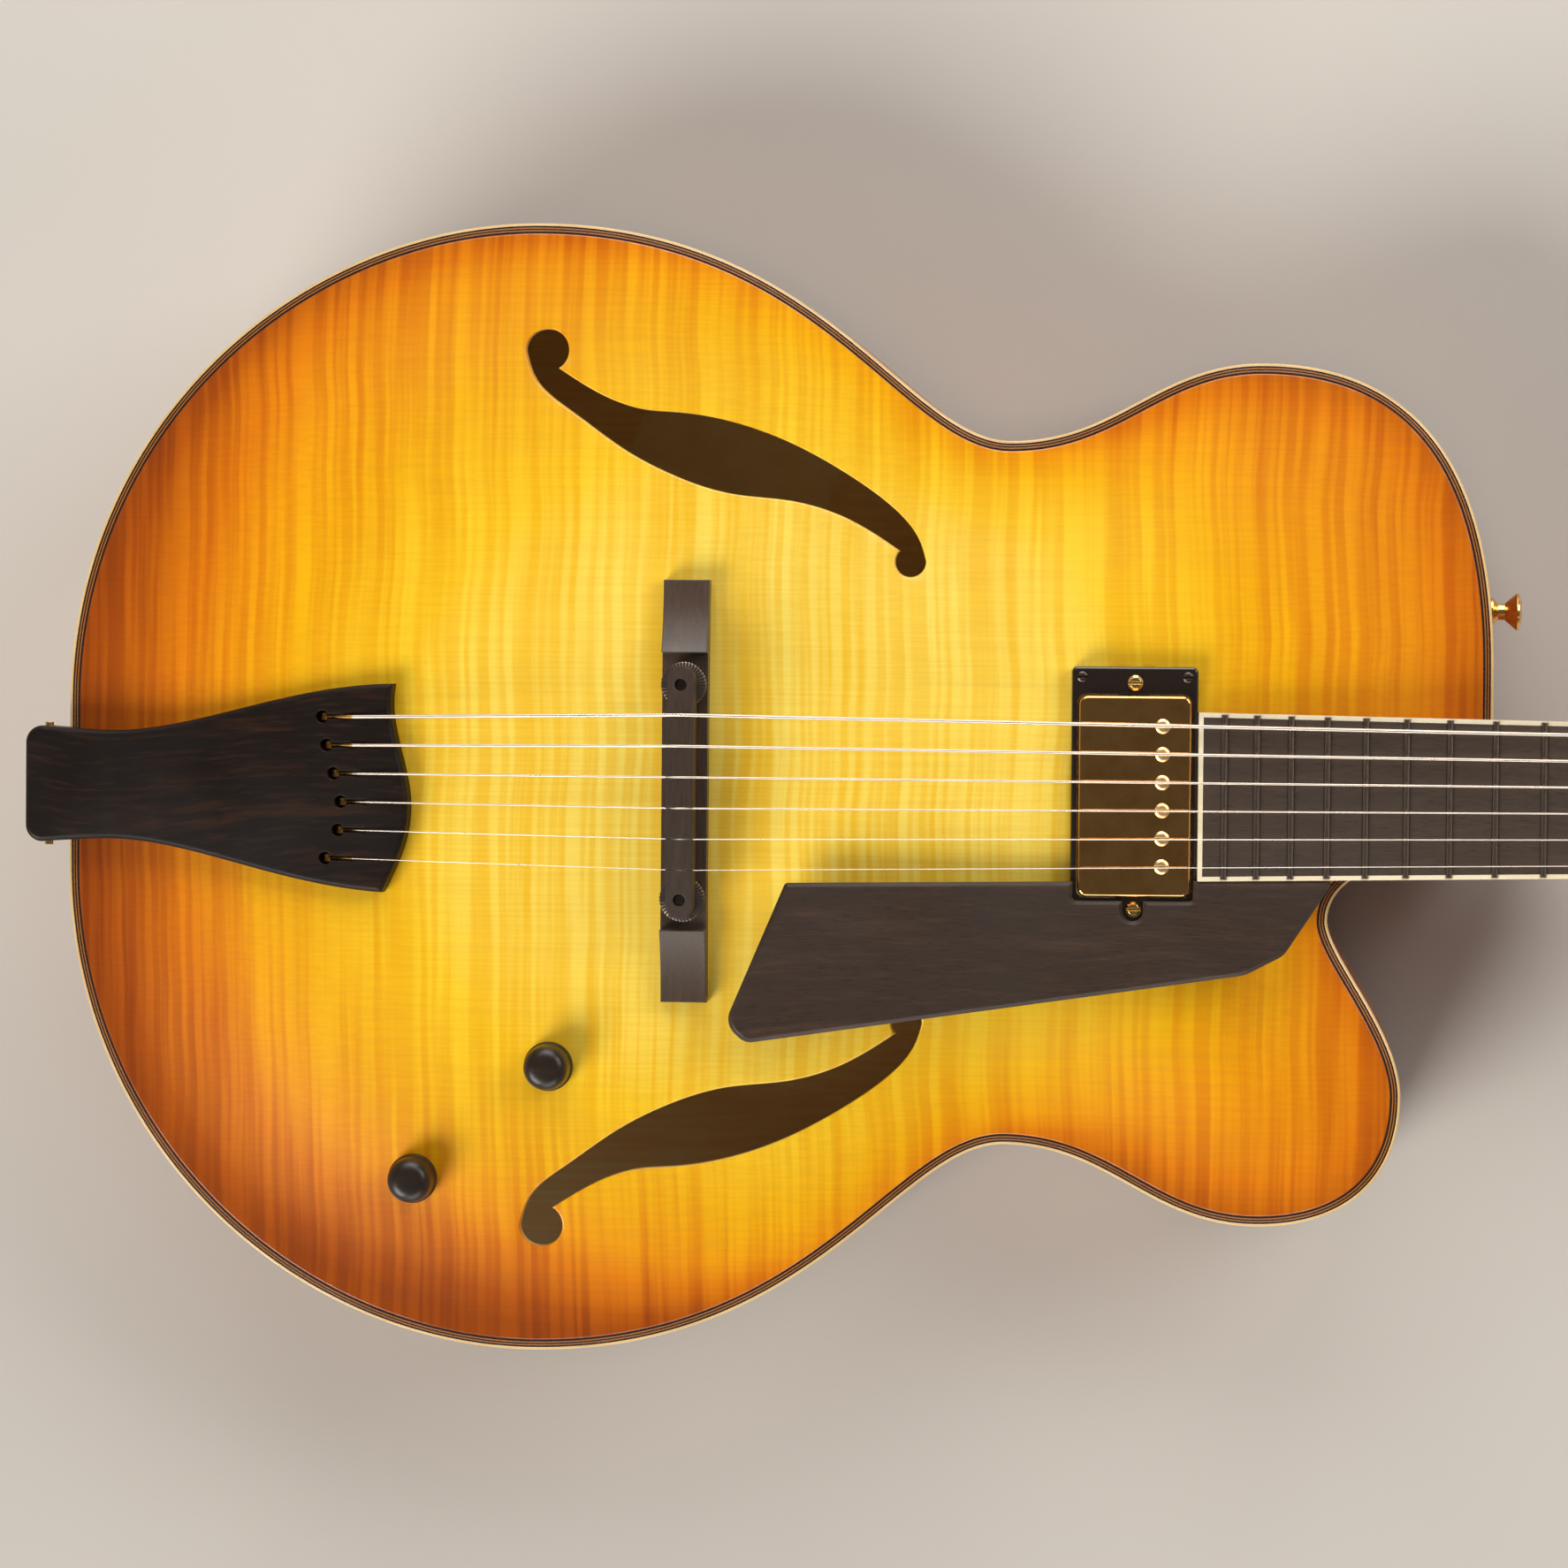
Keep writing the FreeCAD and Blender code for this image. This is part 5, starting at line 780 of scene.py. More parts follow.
@dataclass
class Edge:
    """The body's plan, walked from the bass shoulder round the tail to the cutaway, inside on the left."""

    knots: tuple[Knot, ...] = (
        Knot(505.0, 44.3, Heading.NORTH, 23.1, 67.6),
        Knot(423.7, 151.6, Heading.WEST, 56.3, 37.1),
        Knot(335.3, 124.0, Heading.WEST, 37.5, 36.3),
        Knot(167.5, 200.0, Heading.WEST, 101.3, 86.4),
        Knot(0.0, 28.9, Heading.SOUTH, 98.8, 19.3),
        Knot(0.0, -28.9, Heading.SOUTH, 19.3, 98.8),
        Knot(167.5, -200.0, Heading.EAST, 86.4, 101.3),
        Knot(335.3, -124.0, Heading.EAST, 36.3, 37.5),
        Knot(423.7, -151.6, Heading.EAST, 37.1, 30.8),
        Knot(474.3, -105.5, Heading.NORTH, 30.0, 23.0),
        Knot(448.0, -43.5, Heading.NORTH, 12.0, 10.0),
        Knot(470.0, -25.0, Heading.EAST, 12.0, 11.7),
        Knot(505.0, -25.0, Heading.EAST, 11.7, 0.0))
    step: float = 2.0
    fewest_steps: int = 4
    bow: float = 1.1
    corner_room: float = 21.0

    def __post_init__(self) -> None:
        """Work out the points and the direction in which each moves when the edge is inset.

        Close to the mitred corner beside the neck there are no points, so that insets do not fold there.
        """
        points, shifts = [], []
        for a, b in zip(self.knots[:-1], self.knots[1:]):
            run, way = self.stretch(a, b)
            points.append(run)
            shifts.append(np.stack([-way[:, 1], way[:, 0]], axis=1))
        corner, first = self.knots[-1], self.knots[0]
        points[-1], shifts[-1] = points[-1][:1], shifts[-1][:1]
        rise = np.arange(corner.y + self.corner_room, first.y, self.step)
        points += [np.array([[corner.x, corner.y]]), np.stack([np.full_like(rise, first.x), rise], axis=1)]
        shifts += [np.array([[-1.0, 1.0]]), np.tile([-1.0, 0.0], (len(rise), 1))]
        self.points = np.concatenate(points)
        self.shifts = np.concatenate(shifts)

    def stretch(self, a: Knot, b: Knot) -> tuple[Array, Array]:
        """Cubic from one key point to the next, without its end.

        Args:
            a: Where it starts.
            b: Where it ends.

        Returns:
            Points, and unit headings at them.
        """
        start, end = np.array([a.x, a.y]), np.array([b.x, b.y])
        pull_a = start + np.array(a.heading.value) * a.pull_out
        pull_b = end - np.array(b.heading.value) * b.pull_in
        count = max(self.fewest_steps, int(np.linalg.norm(end - start) * self.bow / self.step))
        t = (np.arange(count) / count)[:, None]
        m = 1.0 - t
        run = m ** 3 * start + 3 * m * m * t * pull_a + 3 * m * t * t * pull_b + t ** 3 * end
        way = m * m * (pull_a - start) + 2 * m * t * (pull_b - pull_a) + t * t * (end - pull_b)
        return run, way / np.linalg.norm(way, axis=1)[:, None]

    def loop(self, inset: float) -> Array:
        """The closed plan moved inwards."""
        return self.points + inset * self.shifts

    def swept(self, profile: Sequence[Pair]) -> tuple[Array, Array]:
        """A closed profile of inset and height carried round the whole edge.

        Args:
            profile: Inset and height of each corner, going round the profile.

        Returns:
            Points in millimetres and quads.
        """
        inset, height = np.array(profile).T
        plan = self.points[:, None, :] + inset[None, :, None] * self.shifts[:, None, :]
        level = np.broadcast_to(height[None, :, None], (*plan.shape[:2], 1))
        points = np.concatenate([plan, level], axis=2).reshape(-1, 3)
        return points, grid_faces(len(self.points), len(profile), True, True)


@dataclass
class Arch:
    """The carved arch of top and back over the body's plan."""

    edge: Edge
    rim_bottom: float = 17.0
    rim_top: float = 97.0
    top_height: float = 19.0
    back_height: float = 17.0
    softness: float = 0.55
    crest: Pair = (150.0, 260.0)
    crest_step: float = 10.0
    nearest: float = 0.01
    batch: int = 2000

    def __post_init__(self) -> None:
        """Find the middle of each short piece of edge, its length and the largest soft distance."""
        loop = self.edge.points
        after = np.roll(loop, -1, axis=0)
        self.middles = (loop + after) / 2
        self.lengths = np.linalg.norm(after - loop, axis=1)
        x = np.arange(*self.crest, self.crest_step)
        self.full = self.distance(np.stack([x, np.zeros_like(x)], axis=1)).max()

    def distance(self, plan: Array) -> Array:
        """Soft distance from the edge: one over the cube root of a sum over all pieces of edge.

        Each piece adds its length over its distance to the fourth.

        Args:
            plan: Plan points in millimetres.

        Returns:
            One distance for each point.
        """
        total = np.empty(len(plan))
        for start in range(0, len(plan), self.batch):
            some = slice(start, start + self.batch)
            square = ((plan[some, None, :] - self.middles[None]) ** 2).sum(axis=2) + self.nearest
            total[some] = (self.lengths / square ** 2).sum(axis=1)
        return total ** (-1.0 / 3.0)

    def share(self, plan: Array) -> Array:
        """Share of the full height: one minus a bell curve of the soft distance."""
        t = self.distance(plan) / self.full / self.softness
        return (1 - np.exp(-t * t)) / (1 - math.exp(-1 / self.softness ** 2))

    def top(self, plan: Array) -> Array:
        """Height of the top's outer face."""
        return self.rim_top + self.top_height * self.share(plan)

    def back(self, plan: Array) -> Array:
        """Height of the back's outer face."""
        return self.rim_bottom - self.back_height * self.share(plan)


@dataclass
class SoundHole:
    """One S-shaped hole: two dots joined by a slot, given for the bass side."""

    large: Pair = (171.7, 154.8)
    large_radius: float = 7.6
    large_arc: Pair = (-57.0, 180.0)
    large_steps: int = 30
    small: Pair = (301.0, 81.1)
    small_radius: float = 5.4
    small_arc: Pair = (135.0, 360.0)
    small_steps: int = 26
    slot_steps: int = 70
    inner: tuple[Pair, ...] = (
        (167.3, 145.6), (180.9, 133.3), (199.7, 120.0), (217.4, 110.9), (238.1, 104.5), (258.8, 102.2),
        (279.5, 95.7))
    outer: tuple[Pair, ...] = (
        (304.3, 87.8), (292.9, 101.4), (277.3, 112.3), (258.6, 122.4), (237.9, 129.8), (217.2, 133.2),
        (206.8, 134.0), (191.2, 139.2))

    def loop(self, side: int) -> Array:
        """Closed plan of the hole, hole on its right.

        Args:
            side: 1 for the bass side, -1 for the treble side.

        Returns:
            Plan points in millimetres.
        """
        big = arc(self.large, self.large_radius, *self.large_arc, self.large_steps)
        little = arc(self.small, self.small_radius, *self.small_arc, self.small_steps)
        inner = smooth_curve([tuple(big[-1]), *self.inner, tuple(little[0])], self.slot_steps)
        outer = smooth_curve([tuple(little[-1]), *self.outer, tuple(big[0])], self.slot_steps)
        loop = np.concatenate([big[:-1], inner[:-1], little[:-1], outer[:-1]])
        if side < 0:
            return loop * np.array([1.0, -1.0])
        return loop[::-1]


@dataclass(frozen=True)
class StainAndShade:
    """Dark cloud painted into the tone, partly stain and partly painted shade: its middle, its reach along
    and across the body, and its depth.
    """

    x: float
    y: float
    along: float
    across: float
    depth: float

    def over(self, plan: Array) -> Array:
        """How far it darkens each plan point: a bell curve of the distance from its middle."""
        u, v = (plan[:, 0] - self.x) / self.along, (plan[:, 1] - self.y) / self.across
        return self.depth * np.exp(-u ** 2 - v ** 2)


@dataclass(frozen=True)
class SunburstAndShade:
    """Tone of the stain with painted shade: clouds at the tail and on the treble side of the lower bout that
    are partly stain and partly painted shade, painted shade at the treble waist beside the pickguard, and a
    darker patch at the bass waist.
    """

    x: float = 265.0
    y: float = 2.0
    to_tail: float = 290.0
    to_neck: float = 230.0
    to_side: float = 235.0
    bright: float = 0.86
    fall: float = 0.58
    fall_start: float = 0.28
    fall_width: float = 0.74
    edge_width: float = 10.0
    edge_depth: float = 0.12
    stains_and_shades: tuple[StainAndShade, ...] = (
        # Tail and treble side of the lower bout: stain with painted shade; treble waist: painted shade beside
        # the pickguard; bass waist: a darker patch.
        StainAndShade(0.0, 0.0, 75.0, math.inf, 0.22), StainAndShade(115.0, -205.0, 160.0, 55.0, 0.31),
        StainAndShade(345.0, -125.0, 60.0, 45.0, 0.25), StainAndShade(340.0, 130.0, 60.0, 24.0, 0.2))

    def tone(self, plan: Array, from_edge: Array) -> Array:
        """Bright round the bridge, falling in a smooth step with the distance, darker at the edge, in the
        stain clouds and in the painted shade.

        Args:
            plan: Plan points in millimetres.
            from_edge: Their distances from the body's edge.

        Returns:
            Tone of each point, 0 dark to 1 bright.
        """
        x, y = plan.T
        reach = np.where(x < self.x, self.to_tail, self.to_neck)
        r = np.hypot((x - self.x) / reach, (y - self.y) / self.to_side)
        t = np.clip((r - self.fall_start) / self.fall_width, 0.0, 1.0)
        tone = self.bright - self.fall * t * t * (3 - 2 * t)
        tone -= self.edge_depth * np.exp(-(from_edge / self.edge_width) ** 2)
        return np.clip(tone - sum(dark_patch.over(plan) for dark_patch in self.stains_and_shades), 0.0, 1.0)


@dataclass
class BodyShell(Assembly):
    """Arched top and back, ribs, binding and the lines of inlay round the top."""

    thickness: float = 5.0
    inlay_end: float = 3.66
    back_inset: float = 1.28
    hole_round: float = 0.7
    grid_step: float = 3.2
    bands: tuple[float, ...] = (0.6, 1.3, 2.1, 3.0, 4.0, 5.2, 6.6, 8.2, 10.0, 12.0, 14.4)
    free_share: float = 0.55
    batch: int = 40
    same_point: float = 1e-6
    rim_turn: tuple[float, ...] = (18.0, 36.0, 54.0, 72.0, 90.0)
    sunburst_and_shade: SunburstAndShade = SunburstAndShade()
    rib: float = 2.4
    rib_low: float = 22.15
    rib_high: float = 91.85
    rib_crease: float = 50.0
    binding: float = 0.95
    binding_round: float = 0.55
    binding_turn: tuple[float, ...] = (0.0, 22.5, 45.0, 67.5, 90.0)
    lines: tuple[tuple[str, float], ...] = (
        ("line_dark", 0.6), ("line_tan", 0.42), ("line_dark", 0.5), ("line_tan", 0.42), ("line_dark", 0.72))
    line_depth: float = 1.5
    pickup_x: float = 379.9
    pickup_room: Pair = (20.2, 35.5)
    pickup_ears: Pair = (6.0, 44.0)
    control_places: tuple[Pair, ...] = ((175.5, -97.5), (126.5, -138.5))
    control_radius: float = 5.0
    control_steps: int = 33

    def __post_init__(self) -> None:
        """Prepare the plan and the arch."""
        self.edge = Edge()
        self.arch = Arch(self.edge)

    def build(self) -> None:
        """Make all pieces of the shell."""
        self.build_top()
        self.build_back()
        self.build_edging()
        self.build_ribs()

    def openings(self) -> list[Array]:
        """Plan loops of the holes in the top: sound holes, pickup opening and control holes.

        Returns:
            The loops, each with its hole on the right.
        """
        hole = SoundHole()
        (a, b), (c, d) = self.pickup_room, self.pickup_ears
        quarter = np.array([(a, b), (c, b), (c, d)])
        flips = np.array([(1, 1), (-1, 1), (-1, -1), (1, -1)])
        plus = [quarter[::way] * flip for way, flip in zip((1, -1, 1, -1), flips)]
        pickup = (np.concatenate(plus) + np.array([self.pickup_x, 0.0]))[::-1]
        circles = [arc(place, self.control_radius, 360.0, 0.0, self.control_steps)
                   for place in self.control_places]
        return [hole.loop(1), hole.loop(-1), pickup, *(circle[:-1] for circle in circles)]

    def build_top(self) -> None:
        """The top: its plan lies inside the inlay, with rounded sound holes and plain openings."""
        rounds = [self.hole_round, self.hole_round, 0.0, 0.0, 0.0]
        holes = self.openings()
        piece = self.plate("carved_top", self.inlay_end, holes, rounds, self.arch.top, -self.thickness)
        self.shop.dress(piece, "top", "hole_wall", "inner_wood")
        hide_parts("top_plate")

    def build_back(self) -> None:
        """The back: the same plan inside its binding, without openings, arched downwards."""
        piece = self.plate("carved_back", self.back_inset, [], [], self.arch.back, self.thickness)
        self.shop.dress(piece, "back", "hole_wall", "inner_wood")
        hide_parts("back_plate")

    def plate(self, name: str, inset: float, holes: list[Array], rounds: list[float],
              height: Callable[[Array], Array], depth: float) -> bpy.types.Object:
        """A level triangle mesh between plan loops, lifted by an arch formula, with a second face behind it.

        Args:
            name: Name of the piece.
            inset: How far its edge lies inside the body's edge.
            holes: Plan loops of its holes.
            rounds: Radius of the rounded rim of each hole.
            height: Height of its outer face over a plan.
            depth: From the outer face up to the inner one, negative if that lies lower.

        Returns:
            The plate, with its kinds of face.
        """
        normals = [loop_normals(hole) for hole in holes]
        rims = [hole + way * size for hole, way, size in zip(holes, normals, rounds)]
        bands = [self.edge.loop(inset + band) for band in self.bands]
        plan, triangles, numbers = self.triangulated([self.edge.loop(inset), *rims], bands)
        count = len(plan)
        total = 2 * count
        level = height(plan)
        rows = [np.column_stack([plan, level]), np.column_stack([plan, level + depth])]
        faces = [triangles, triangles[:, ::-1] + count]
        kinds = [np.full(len(triangles), kind) for kind in (Face.OUTSIDE, Face.INSIDE)]
        turn = np.radians(self.rim_turn)
        for index, ring in enumerate(numbers):
            strips = [ring]
            size = rounds[index - 1] if index else 0.0
            if size:
                out = np.append(size * (1 - np.sin(turn)), 0.0)
                fall = np.append(size * (1 - np.cos(turn)), abs(depth) - size)
                rim = holes[index - 1] + normals[index - 1] * out[:, None, None]
                flat = rim.reshape(-1, 2)
                drop = np.repeat(fall, len(ring)) * np.sign(depth)
                rows.append(np.column_stack([flat, height(flat) + drop]))
                strips += list(total + np.arange(len(flat)).reshape(len(out), -1))
                total += len(flat)
            strips.append(ring + count)
            band = np.stack(strips)
            beside = np.roll(band, -1, axis=1)
            quads = np.stack([band[:-1], band[1:], beside[1:], beside[:-1]], axis=2)
            faces.append(quads.reshape(-1, 4))
            kind = np.full(len(quads), Face.HOLE_WALL if index else Face.INSIDE)
            kind[:len(turn) if size else 0] = Face.OUTSIDE
            kinds.append(np.repeat(kind, len(ring)))
        if depth > 0:
            faces = [face[:, ::-1] for face in faces]
        points = np.concatenate(rows)
        piece = new_piece(name, in_frame(points), faces)
        piece.data.polygons.foreach_set("material_index", np.concatenate(kinds).astype(np.int32))
        places = points[:, :2]
        # The tone stored on the points is the stain with painted shade.
        set_number(piece, "burst_and_shade", self.sunburst_and_shade.tone(places, self.arch.distance(places)))
        return piece

    def triangulated(self, loops: list[Array], bands: list[Array]) -> tuple[Array, Array, list[Array]]:
        """Triangles over the plan inside the first loop and outside the others.

        Args:
            loops: Closed plan loops, the outer one first.
            bands: Loops of points that follow the outer one, for a fine mesh where the arch bends most.

        Returns:
            Plan points, triangles, and for each loop the numbers of its points.
        """
        low, high = loops[0].min(axis=0), loops[0].max(axis=0)
        axes = [np.arange(a, b, self.grid_step) for a, b in zip(low, high)]
        grid = np.stack(np.meshgrid(*axes, indexing="ij"), axis=-1).reshape(-1, 2)
        grid[:, 1] += (np.round(grid[:, 0] / self.grid_step) % 2) * self.grid_step / 2
        grid = grid[inside(grid, bands[-1])]
        for loop in loops[1:]:
            grid = grid[~inside(grid, loop)]
        for loop in [bands[-1], *loops[1:]]:
            nearest = np.stack([np.linalg.norm(grid[:, None] - part[None], axis=2).min(axis=1)
                                for part in np.array_split(loop, max(1, len(loop) // self.batch))])
            grid = grid[nearest.min(axis=0) > self.grid_step * self.free_share]
        rings = [*loops, *bands]
        points = np.concatenate([*rings, grid])
        ends = np.cumsum([len(ring) for ring in rings])
        numbers = [np.arange(end - len(ring), end) for ring, end in zip(rings, ends)]
        sides = np.concatenate([np.stack([n, np.roll(n, -1)], axis=1) for n in numbers])
        made = delaunay_2d_cdt([tuple(p) for p in points], sides.tolist(), [], 0, self.same_point)
        plan = np.array([tuple(p) for p in made[0]])
        triangles = np.array(made[2])
        back = np.empty(len(points), dtype=int)
        back[[origin[0] for origin in made[3]]] = np.arange(len(plan))
        middles = plan[triangles].mean(axis=1)
        keep = inside(middles, loops[0])
        for loop in loops[1:]:
            keep &= ~inside(middles, loop)
        return plan, triangles[keep], [back[n] for n in numbers[:len(loops)]]

    def build_edging(self) -> None:
        """Binding and inlay lines are thin profiles carried round the body edge."""
        top, low = self.arch.rim_top, self.arch.rim_top - self.thickness
        r = self.binding_round
        bevel = [(r - r * math.cos(t), top - r + r * math.sin(t)) for t in np.radians(self.binding_turn)]
        profile = [(0.0, low), *bevel, (self.binding, top), (self.binding, low)]
        points, faces = self.edge.swept(profile)
        edge = new_piece("edge_binding", in_frame(points), [faces[:, ::-1]])
        self.shop.dress(edge, "edge_cream")
        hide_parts("top_binding")
        start = self.binding
        for number, (finish, width) in enumerate(self.lines, start=1):
            bed = top - self.line_depth
            profile = [(start, bed), (start, top), (start + width, top), (start + width, bed)]
            points, faces = self.edge.swept(profile)
            line = new_piece("inlay_line_%d" % number, in_frame(points), [faces[:, ::-1]], smooth=False)
            self.shop.dress(line, finish)
            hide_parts("top_purfling")
            start += width

    def build_ribs(self) -> None:
        """Each rib is an upright rectangle carried along half of the body edge, with the distance stored."""
        count = len(self.edge.points)
        x, y = self.edge.points.T
        tail = int(np.argmin(np.abs(y) + x))
        neck = int(np.argmin(np.abs(y) + np.abs(x - self.edge.knots[0].x)))
        low, high = self.rib_low, self.rib_high
        halves = (("bass_side", "bass_rib", np.arange(neck - count, tail + 1)),
                  ("treble_side", "treble_rib", np.arange(tail, neck + 1)))
        for name, node, order in halves:
            plan, shift = self.edge.points[order], self.edge.shifts[order]
            inner = plan + self.rib * shift
            corners = [(plan, low), (plan, high), (inner, high), (inner, low)]
            rings = [np.column_stack([p, np.full(len(p), z)]) for p, z in corners]
            points = np.stack(rings, axis=1).reshape(-1, 3)
            faces = grid_faces(len(order), 4, False, True)[:, ::-1]
            last = 4 * (len(order) - 1)
            caps = np.array([[3, 2, 1, 0], [last, last + 1, last + 2, last + 3]])
            piece = new_piece(name, in_frame(points), [faces, caps], smooth=False)
            along = np.concatenate([[0.0], np.cumsum(np.linalg.norm(np.diff(plan, axis=0), axis=1))]) * MM
            set_number(piece, "along", np.repeat(along, 4))
            smooth = np.arange(len(piece.data.polygons)) < len(faces)
            turned_in = np.zeros(len(smooth), dtype=np.int32)
            turned_in[2:len(faces):4] = 1
            piece.data.polygons.foreach_set("use_smooth", smooth)
            piece.modifiers.new("sharp_edges", "EDGE_SPLIT").split_angle = math.radians(self.rib_crease)
            piece.data.polygons.foreach_set("material_index", turned_in)
            self.shop.dress(piece, "side", "inner_wood")
            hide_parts(node)


@dataclass
class Controls(Assembly):
    """Two turned knobs with domed tops, and the potentiometers under them."""

    radius: float = 8.7
    height: float = 13.5
    segments: int = 96
    shoulder: float = 0.6
    dome_inset: float = 0.8
    dome_powers: Pair = (0.55, 0.9)
    dome_steps: int = 22
    wears: Wears = (("dark_metal", "potentiometers"),)
    foot: tuple[Pair, ...] = (
        (0.0, 0.3), (1.0, 0.3), (0.4, 0.0), (0.1, 0.12), (0.0, 0.5), (0.0, 2.1), (0.12, 2.5), (0.45, 2.75),
        (0.55, 3.2))

    def build(self) -> None:
        """Each knob is a profile of radius and height turned about its shaft."""
        super().build()
        for name in ("volume_knob", "tone_knob"):
            low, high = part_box(name)
            middle = ((low.x + high.x) / 2, (low.y + high.y) / 2)
            base = high.z - self.height * MM
            dial = name.replace("_knob", "_dial")
            piece = lathe(dial, self.profile(), (*middle, base), self.segments, name)
            self.shop.dress(piece, "knob")
            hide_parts(name)

    def profile(self) -> Array:
        """Radius and height: a foot ring, given as distances inside the radius, then a superellipse dome.

        Returns:
            One row for each point, from the axis at the foot to the axis at the top.
        """
        t = np.radians(np.linspace(0.0, 90.0, self.dome_steps))
        shoulder = self.height * self.shoulder
        dome_r = (self.radius - self.dome_inset) * np.cos(t) ** self.dome_powers[0]
        dome_z = shoulder + (self.height - shoulder) * np.sin(t) ** self.dome_powers[1]
        foot = np.array(self.foot)
        foot[1:, 0] = self.radius - foot[1:, 0]
        return np.concatenate([foot, np.stack([dome_r, dome_z], axis=1)])


def lathe(name: str, profile: Array, base: Sequence[float], segments: int, body: str) -> bpy.types.Object:
    """Turn a profile of radius and height, in millimetres, about an upright axis.

    Args:
        name: Name of the piece.
        profile: Radius and height, from the axis at the foot to the axis at the top.
        base: Foot of the axis in metres.
        segments: Steps round the axis.
        body: The body it rides on.

    Returns:
        The new piece.
    """
    angle = np.linspace(0.0, 2 * math.pi, segments, endpoint=False)
    radius, height = profile[:, 0] * MM, profile[:, 1] * MM
    ring = np.stack([np.cos(angle), np.sin(angle)], axis=1)
    plan = radius[:, None, None] * ring[None]
    level = np.broadcast_to(height[:, None, None], (*plan.shape[:2], 1))
    points = np.concatenate([plan, level], axis=2).reshape(-1, 3) + np.array(base)
    faces = grid_faces(len(profile), segments, False, True)[:, ::-1]
    return new_piece(name, points, [faces], body)


# Pieces of the frame that keep their own shape


@dataclass
class InnerWoods(Assembly):
    """What holds the body together inside, the back's binding and the label."""

    wears: Wears = (
        ("inner_wood", "rim_linings", "neck_block", "tail_block", "tone_bars"),
        ("edge_cream", "back_binding"),
        ("paper", "paper_label"))


@dataclass
class Neck(Assembly):
    """Neck with its heel, fingerboard, frets and headstock."""

    wears: Wears = (
        ("neck", "neck"),
        ("board", "fingerboard"),
        ("ivory_binding", "fingerboard_binding"),
        ("fret_metal", "frets"),
        ("bone", "nut"),
        ("ebony", "heel_cap", "headstock_overlay", "truss_rod_cover"),
        ("dark_metal", "truss_rod"))


@dataclass
class Tuners(Assembly):
    """Six tuners: housings and ferrules on the headstock, posts that turn, and their wooden buttons."""

    wears: Wears = (
        ("gold", "tuner_housings", "tuner_ferrules", *("tuner_post_%d" % k for k in TUNER_NUMBERS)),
        ("ebony", *("tuner_button_%d" % k for k in TUNER_NUMBERS)))


@dataclass
class Bridge(Assembly):
    """Wooden base and saddle, whose fibres run across the body, on two posts with thumbwheels."""

    wears: Wears = (
        ("bridge", "bridge_base"),
        ("saddle", "bridge_saddle"),
        ("dark_metal", "bridge_posts", "bass_thumbwheel", "treble_thumbwheel"))


@dataclass
class Tailpiece(Assembly):
    """Wooden tailpiece, its pin and hanger, and what is fitted to the rim."""

    wears: Wears = (
        ("tailpiece", "tailpiece"),
        ("gold", "tailpiece_hanger", "tailpiece_pin", "output_jack", "strap_button"))


@dataclass
class Pickup(Assembly):
    """Covered pickup in its ring, with what is inside it and what holds it."""

    wears: Wears = (
        ("cover_gold", "pickup_cover"),
        ("pole_gold", "pole_screws"),
        ("gold", "pickup_height_screws"),
        ("black_plastic", "pickup_ring"),
        ("screw_black", "mounting_screws"),
        ("fret_metal", "pickup_baseplate"),
        ("coil", "pickup_coils"),
        ("dark_metal", "pickup_springs"))


@dataclass
class Guard(Assembly):
    """Pickguard and the block that carries it."""

    wears: Wears = (("guard", "pickguard"), ("ebony", "pickguard_support"))


@dataclass
class Strings(Assembly):
    """Four wound strings and two plain ones."""

    wears: Wears = (("string_wound", "wound_strings"), ("steel", "plain_strings"))


# Stage and camera


@dataclass(frozen=True)
class Panel:
    """Square soft lamp: its place and size in metres, its watts, and whether it only glints on polish."""

    name: str
    place: Triple
    size: float
    power: float
    glints: bool = False


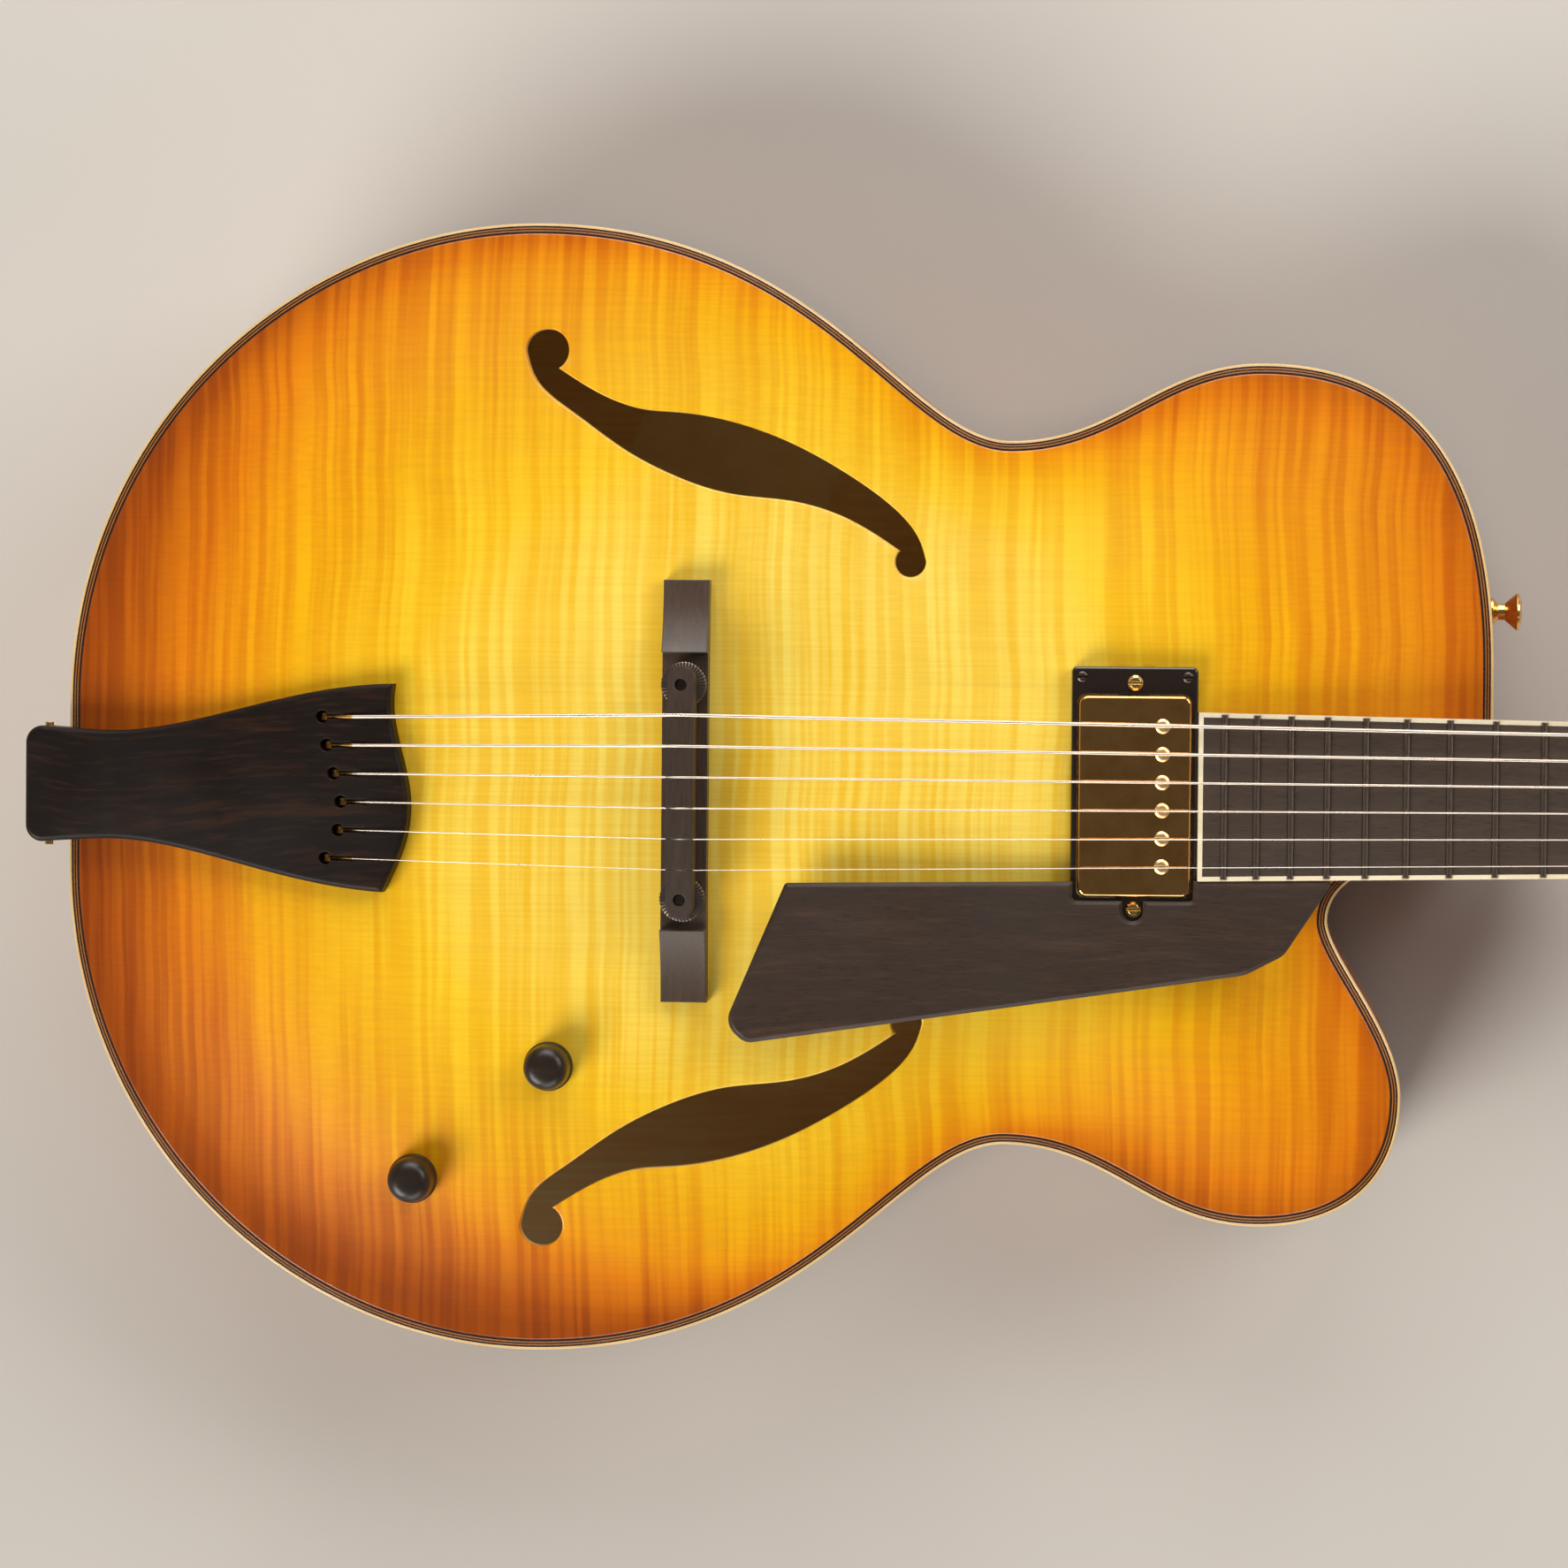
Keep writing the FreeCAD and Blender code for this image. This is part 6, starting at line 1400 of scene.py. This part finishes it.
@dataclass
class Studio:
    """Pale floor, soft lamps and the camera."""

    floor_half: float = 30.0
    floor_colour: Colour = srgb(206, 201, 194)
    floor_cloud: float = 0.94
    backdrop_level: float = 0.45
    backdrop_rise: Pair = (0.2, 0.42)
    world_level: float = 0.12
    world_colour: Colour = (1.0, 0.98, 0.95)
    key_place: Triple = (-2.2, -2.1, 2.1)
    key_level: float = 2.9
    key_spread: float = 34.0
    key_colour: Colour = (1.0, 0.97, 0.92)
    panel_colour: Colour = (1.0, 0.97, 0.94)
    panels: tuple[Panel, ...] = (
        Panel("fill", (2.2, 1.4, 2.2), 1.8, 46.0),
        Panel("side", (-0.4, 2.5, 1.9), 2.4, 50.0),
        Panel("bass_glint", (0.05, 2.2, 0.95), 1.7, 30.0, True),
        Panel("treble_glint", (0.05, -2.2, 0.95), 1.7, 30.0, True))
    aim: Triple = (-0.25, 0.0, 0.1)
    sensor: float = 36.0
    lens: float = 129.876
    camera_place: Triple = (-0.08122951, 0.05469357, 2.08870665)
    camera_axes: tuple[Triple, ...] = (
        (0.99613686, 0.00872355, -0.08737999), (-0.01097471, 0.99961926, -0.02531578),
        (0.08712588, 0.02617695, 0.99585333))

    def build(self) -> None:
        """Lay the floor, set the lamps, the sky and the camera."""
        self.build_floor()
        self.build_sky()
        self.build_lamps()
        self.build_camera()

    def build_floor(self) -> None:
        """A wide level sheet under the object."""
        half = self.floor_half
        mesh = bpy.data.meshes.new("floor")
        corners = [(-half, -half, 0.0), (half, -half, 0.0), (half, half, 0.0), (-half, half, 0.0)]
        mesh.from_pydata(corners, [], [(0, 1, 2, 3)])
        floor = self.place("floor", mesh)
        graph = Graph("floor_paper")
        cloud = graph.noise(graph.place, scale=3.0, detail=3.0)
        tint = tuple(part * self.floor_cloud for part in self.floor_colour)
        colour = graph.mix(graph.step(cloud, 0.3, 0.7), self.floor_colour, tint)
        mesh.materials.append(graph.finish(colour, 0.8, Specular_IOR_Level=0.2))

    def build_sky(self) -> None:
        """Even light from all round: a pale backdrop near the horizon that fades to a dim ceiling."""
        world = bpy.data.worlds.new("sky")
        bpy.context.scene.world = world
        world.use_nodes = True
        tree = world.node_tree
        light = tree.nodes["Background"]
        light.inputs["Color"].default_value = (*self.world_colour, 1.0)
        direction = tree.nodes.new("ShaderNodeTexCoord")
        split = tree.nodes.new("ShaderNodeSeparateXYZ")
        fade = tree.nodes.new("ShaderNodeMapRange")
        fade.interpolation_type = "SMOOTHSTEP"
        levels = (*self.backdrop_rise, self.backdrop_level, self.world_level)
        for number, level in enumerate(levels, start=1):
            fade.inputs[number].default_value = level
        tree.links.new(direction.outputs["Generated"], split.inputs[0])
        tree.links.new(split.outputs[2], fade.inputs[0])
        tree.links.new(fade.outputs[0], light.inputs["Strength"])

    def build_lamps(self) -> None:
        """One broad key light from the tail and treble side, two large fills and two low lamps for glints."""
        key = bpy.data.lights.new("key", "SUN")
        key.energy = self.key_level
        key.angle = math.radians(self.key_spread)
        key.color = self.key_colour
        self.place("key", key).matrix_world = facing(self.key_place, self.aim)
        for panel in self.panels:
            light = bpy.data.lights.new(panel.name, "AREA")
            light.size = panel.size
            light.energy = panel.power
            light.color = self.panel_colour
            lamp = self.place(panel.name, light)
            lamp.matrix_world = facing(panel.place, self.aim)
            lamp.visible_diffuse = not panel.glints

    def build_camera(self) -> None:
        """Camera almost straight above the body, leaning to the tail, as the photo was taken."""
        data = bpy.data.cameras.new("camera")
        data.sensor_width = self.sensor
        data.lens = self.lens
        camera = self.place("camera", data)
        turn = Matrix(self.camera_axes).transposed().to_4x4()
        turn.translation = self.camera_place
        camera.matrix_world = turn
        bpy.context.scene.camera = camera
        bpy.context.scene.view_settings.view_transform = "Standard"

    def place(self, name: str, data: bpy.types.ID) -> bpy.types.Object:
        """Put a mesh, light or camera into the scene.

        Args:
            name: Name of the object.
            data: What it shows.

        Returns:
            The object.
        """
        thing = bpy.data.objects.new(name, data)
        bpy.context.scene.collection.objects.link(thing)
        return thing


def facing(place: Triple, aim: Triple) -> Matrix:
    """Matrix of a lamp that shines on a point: its own z axis points away from there.

    Args:
        place: Where the lamp hangs.
        aim: The point.

    Returns:
        The matrix.
    """
    back = np.array(place) - np.array(aim)
    z = back / np.linalg.norm(back)
    x = np.cross([0.0, 0.0, 1.0], z)
    x /= np.linalg.norm(x)
    y = np.cross(z, x)
    turn = Matrix((x.tolist(), y.tolist(), z.tolist())).transposed().to_4x4()
    turn.translation = place
    return turn


def main() -> None:
    """Build and dress every sub-assembly, then the stage."""
    logging.basicConfig(level=logging.INFO, format="%(name)s %(message)s")
    shop = Workshop()
    for kind in (BodyShell, InnerWoods, Neck, Tuners, Bridge, Tailpiece, Pickup, Guard, Controls, Strings):
        kind(shop).build()
    Studio().build()


if __name__ == "__main__":
    main()
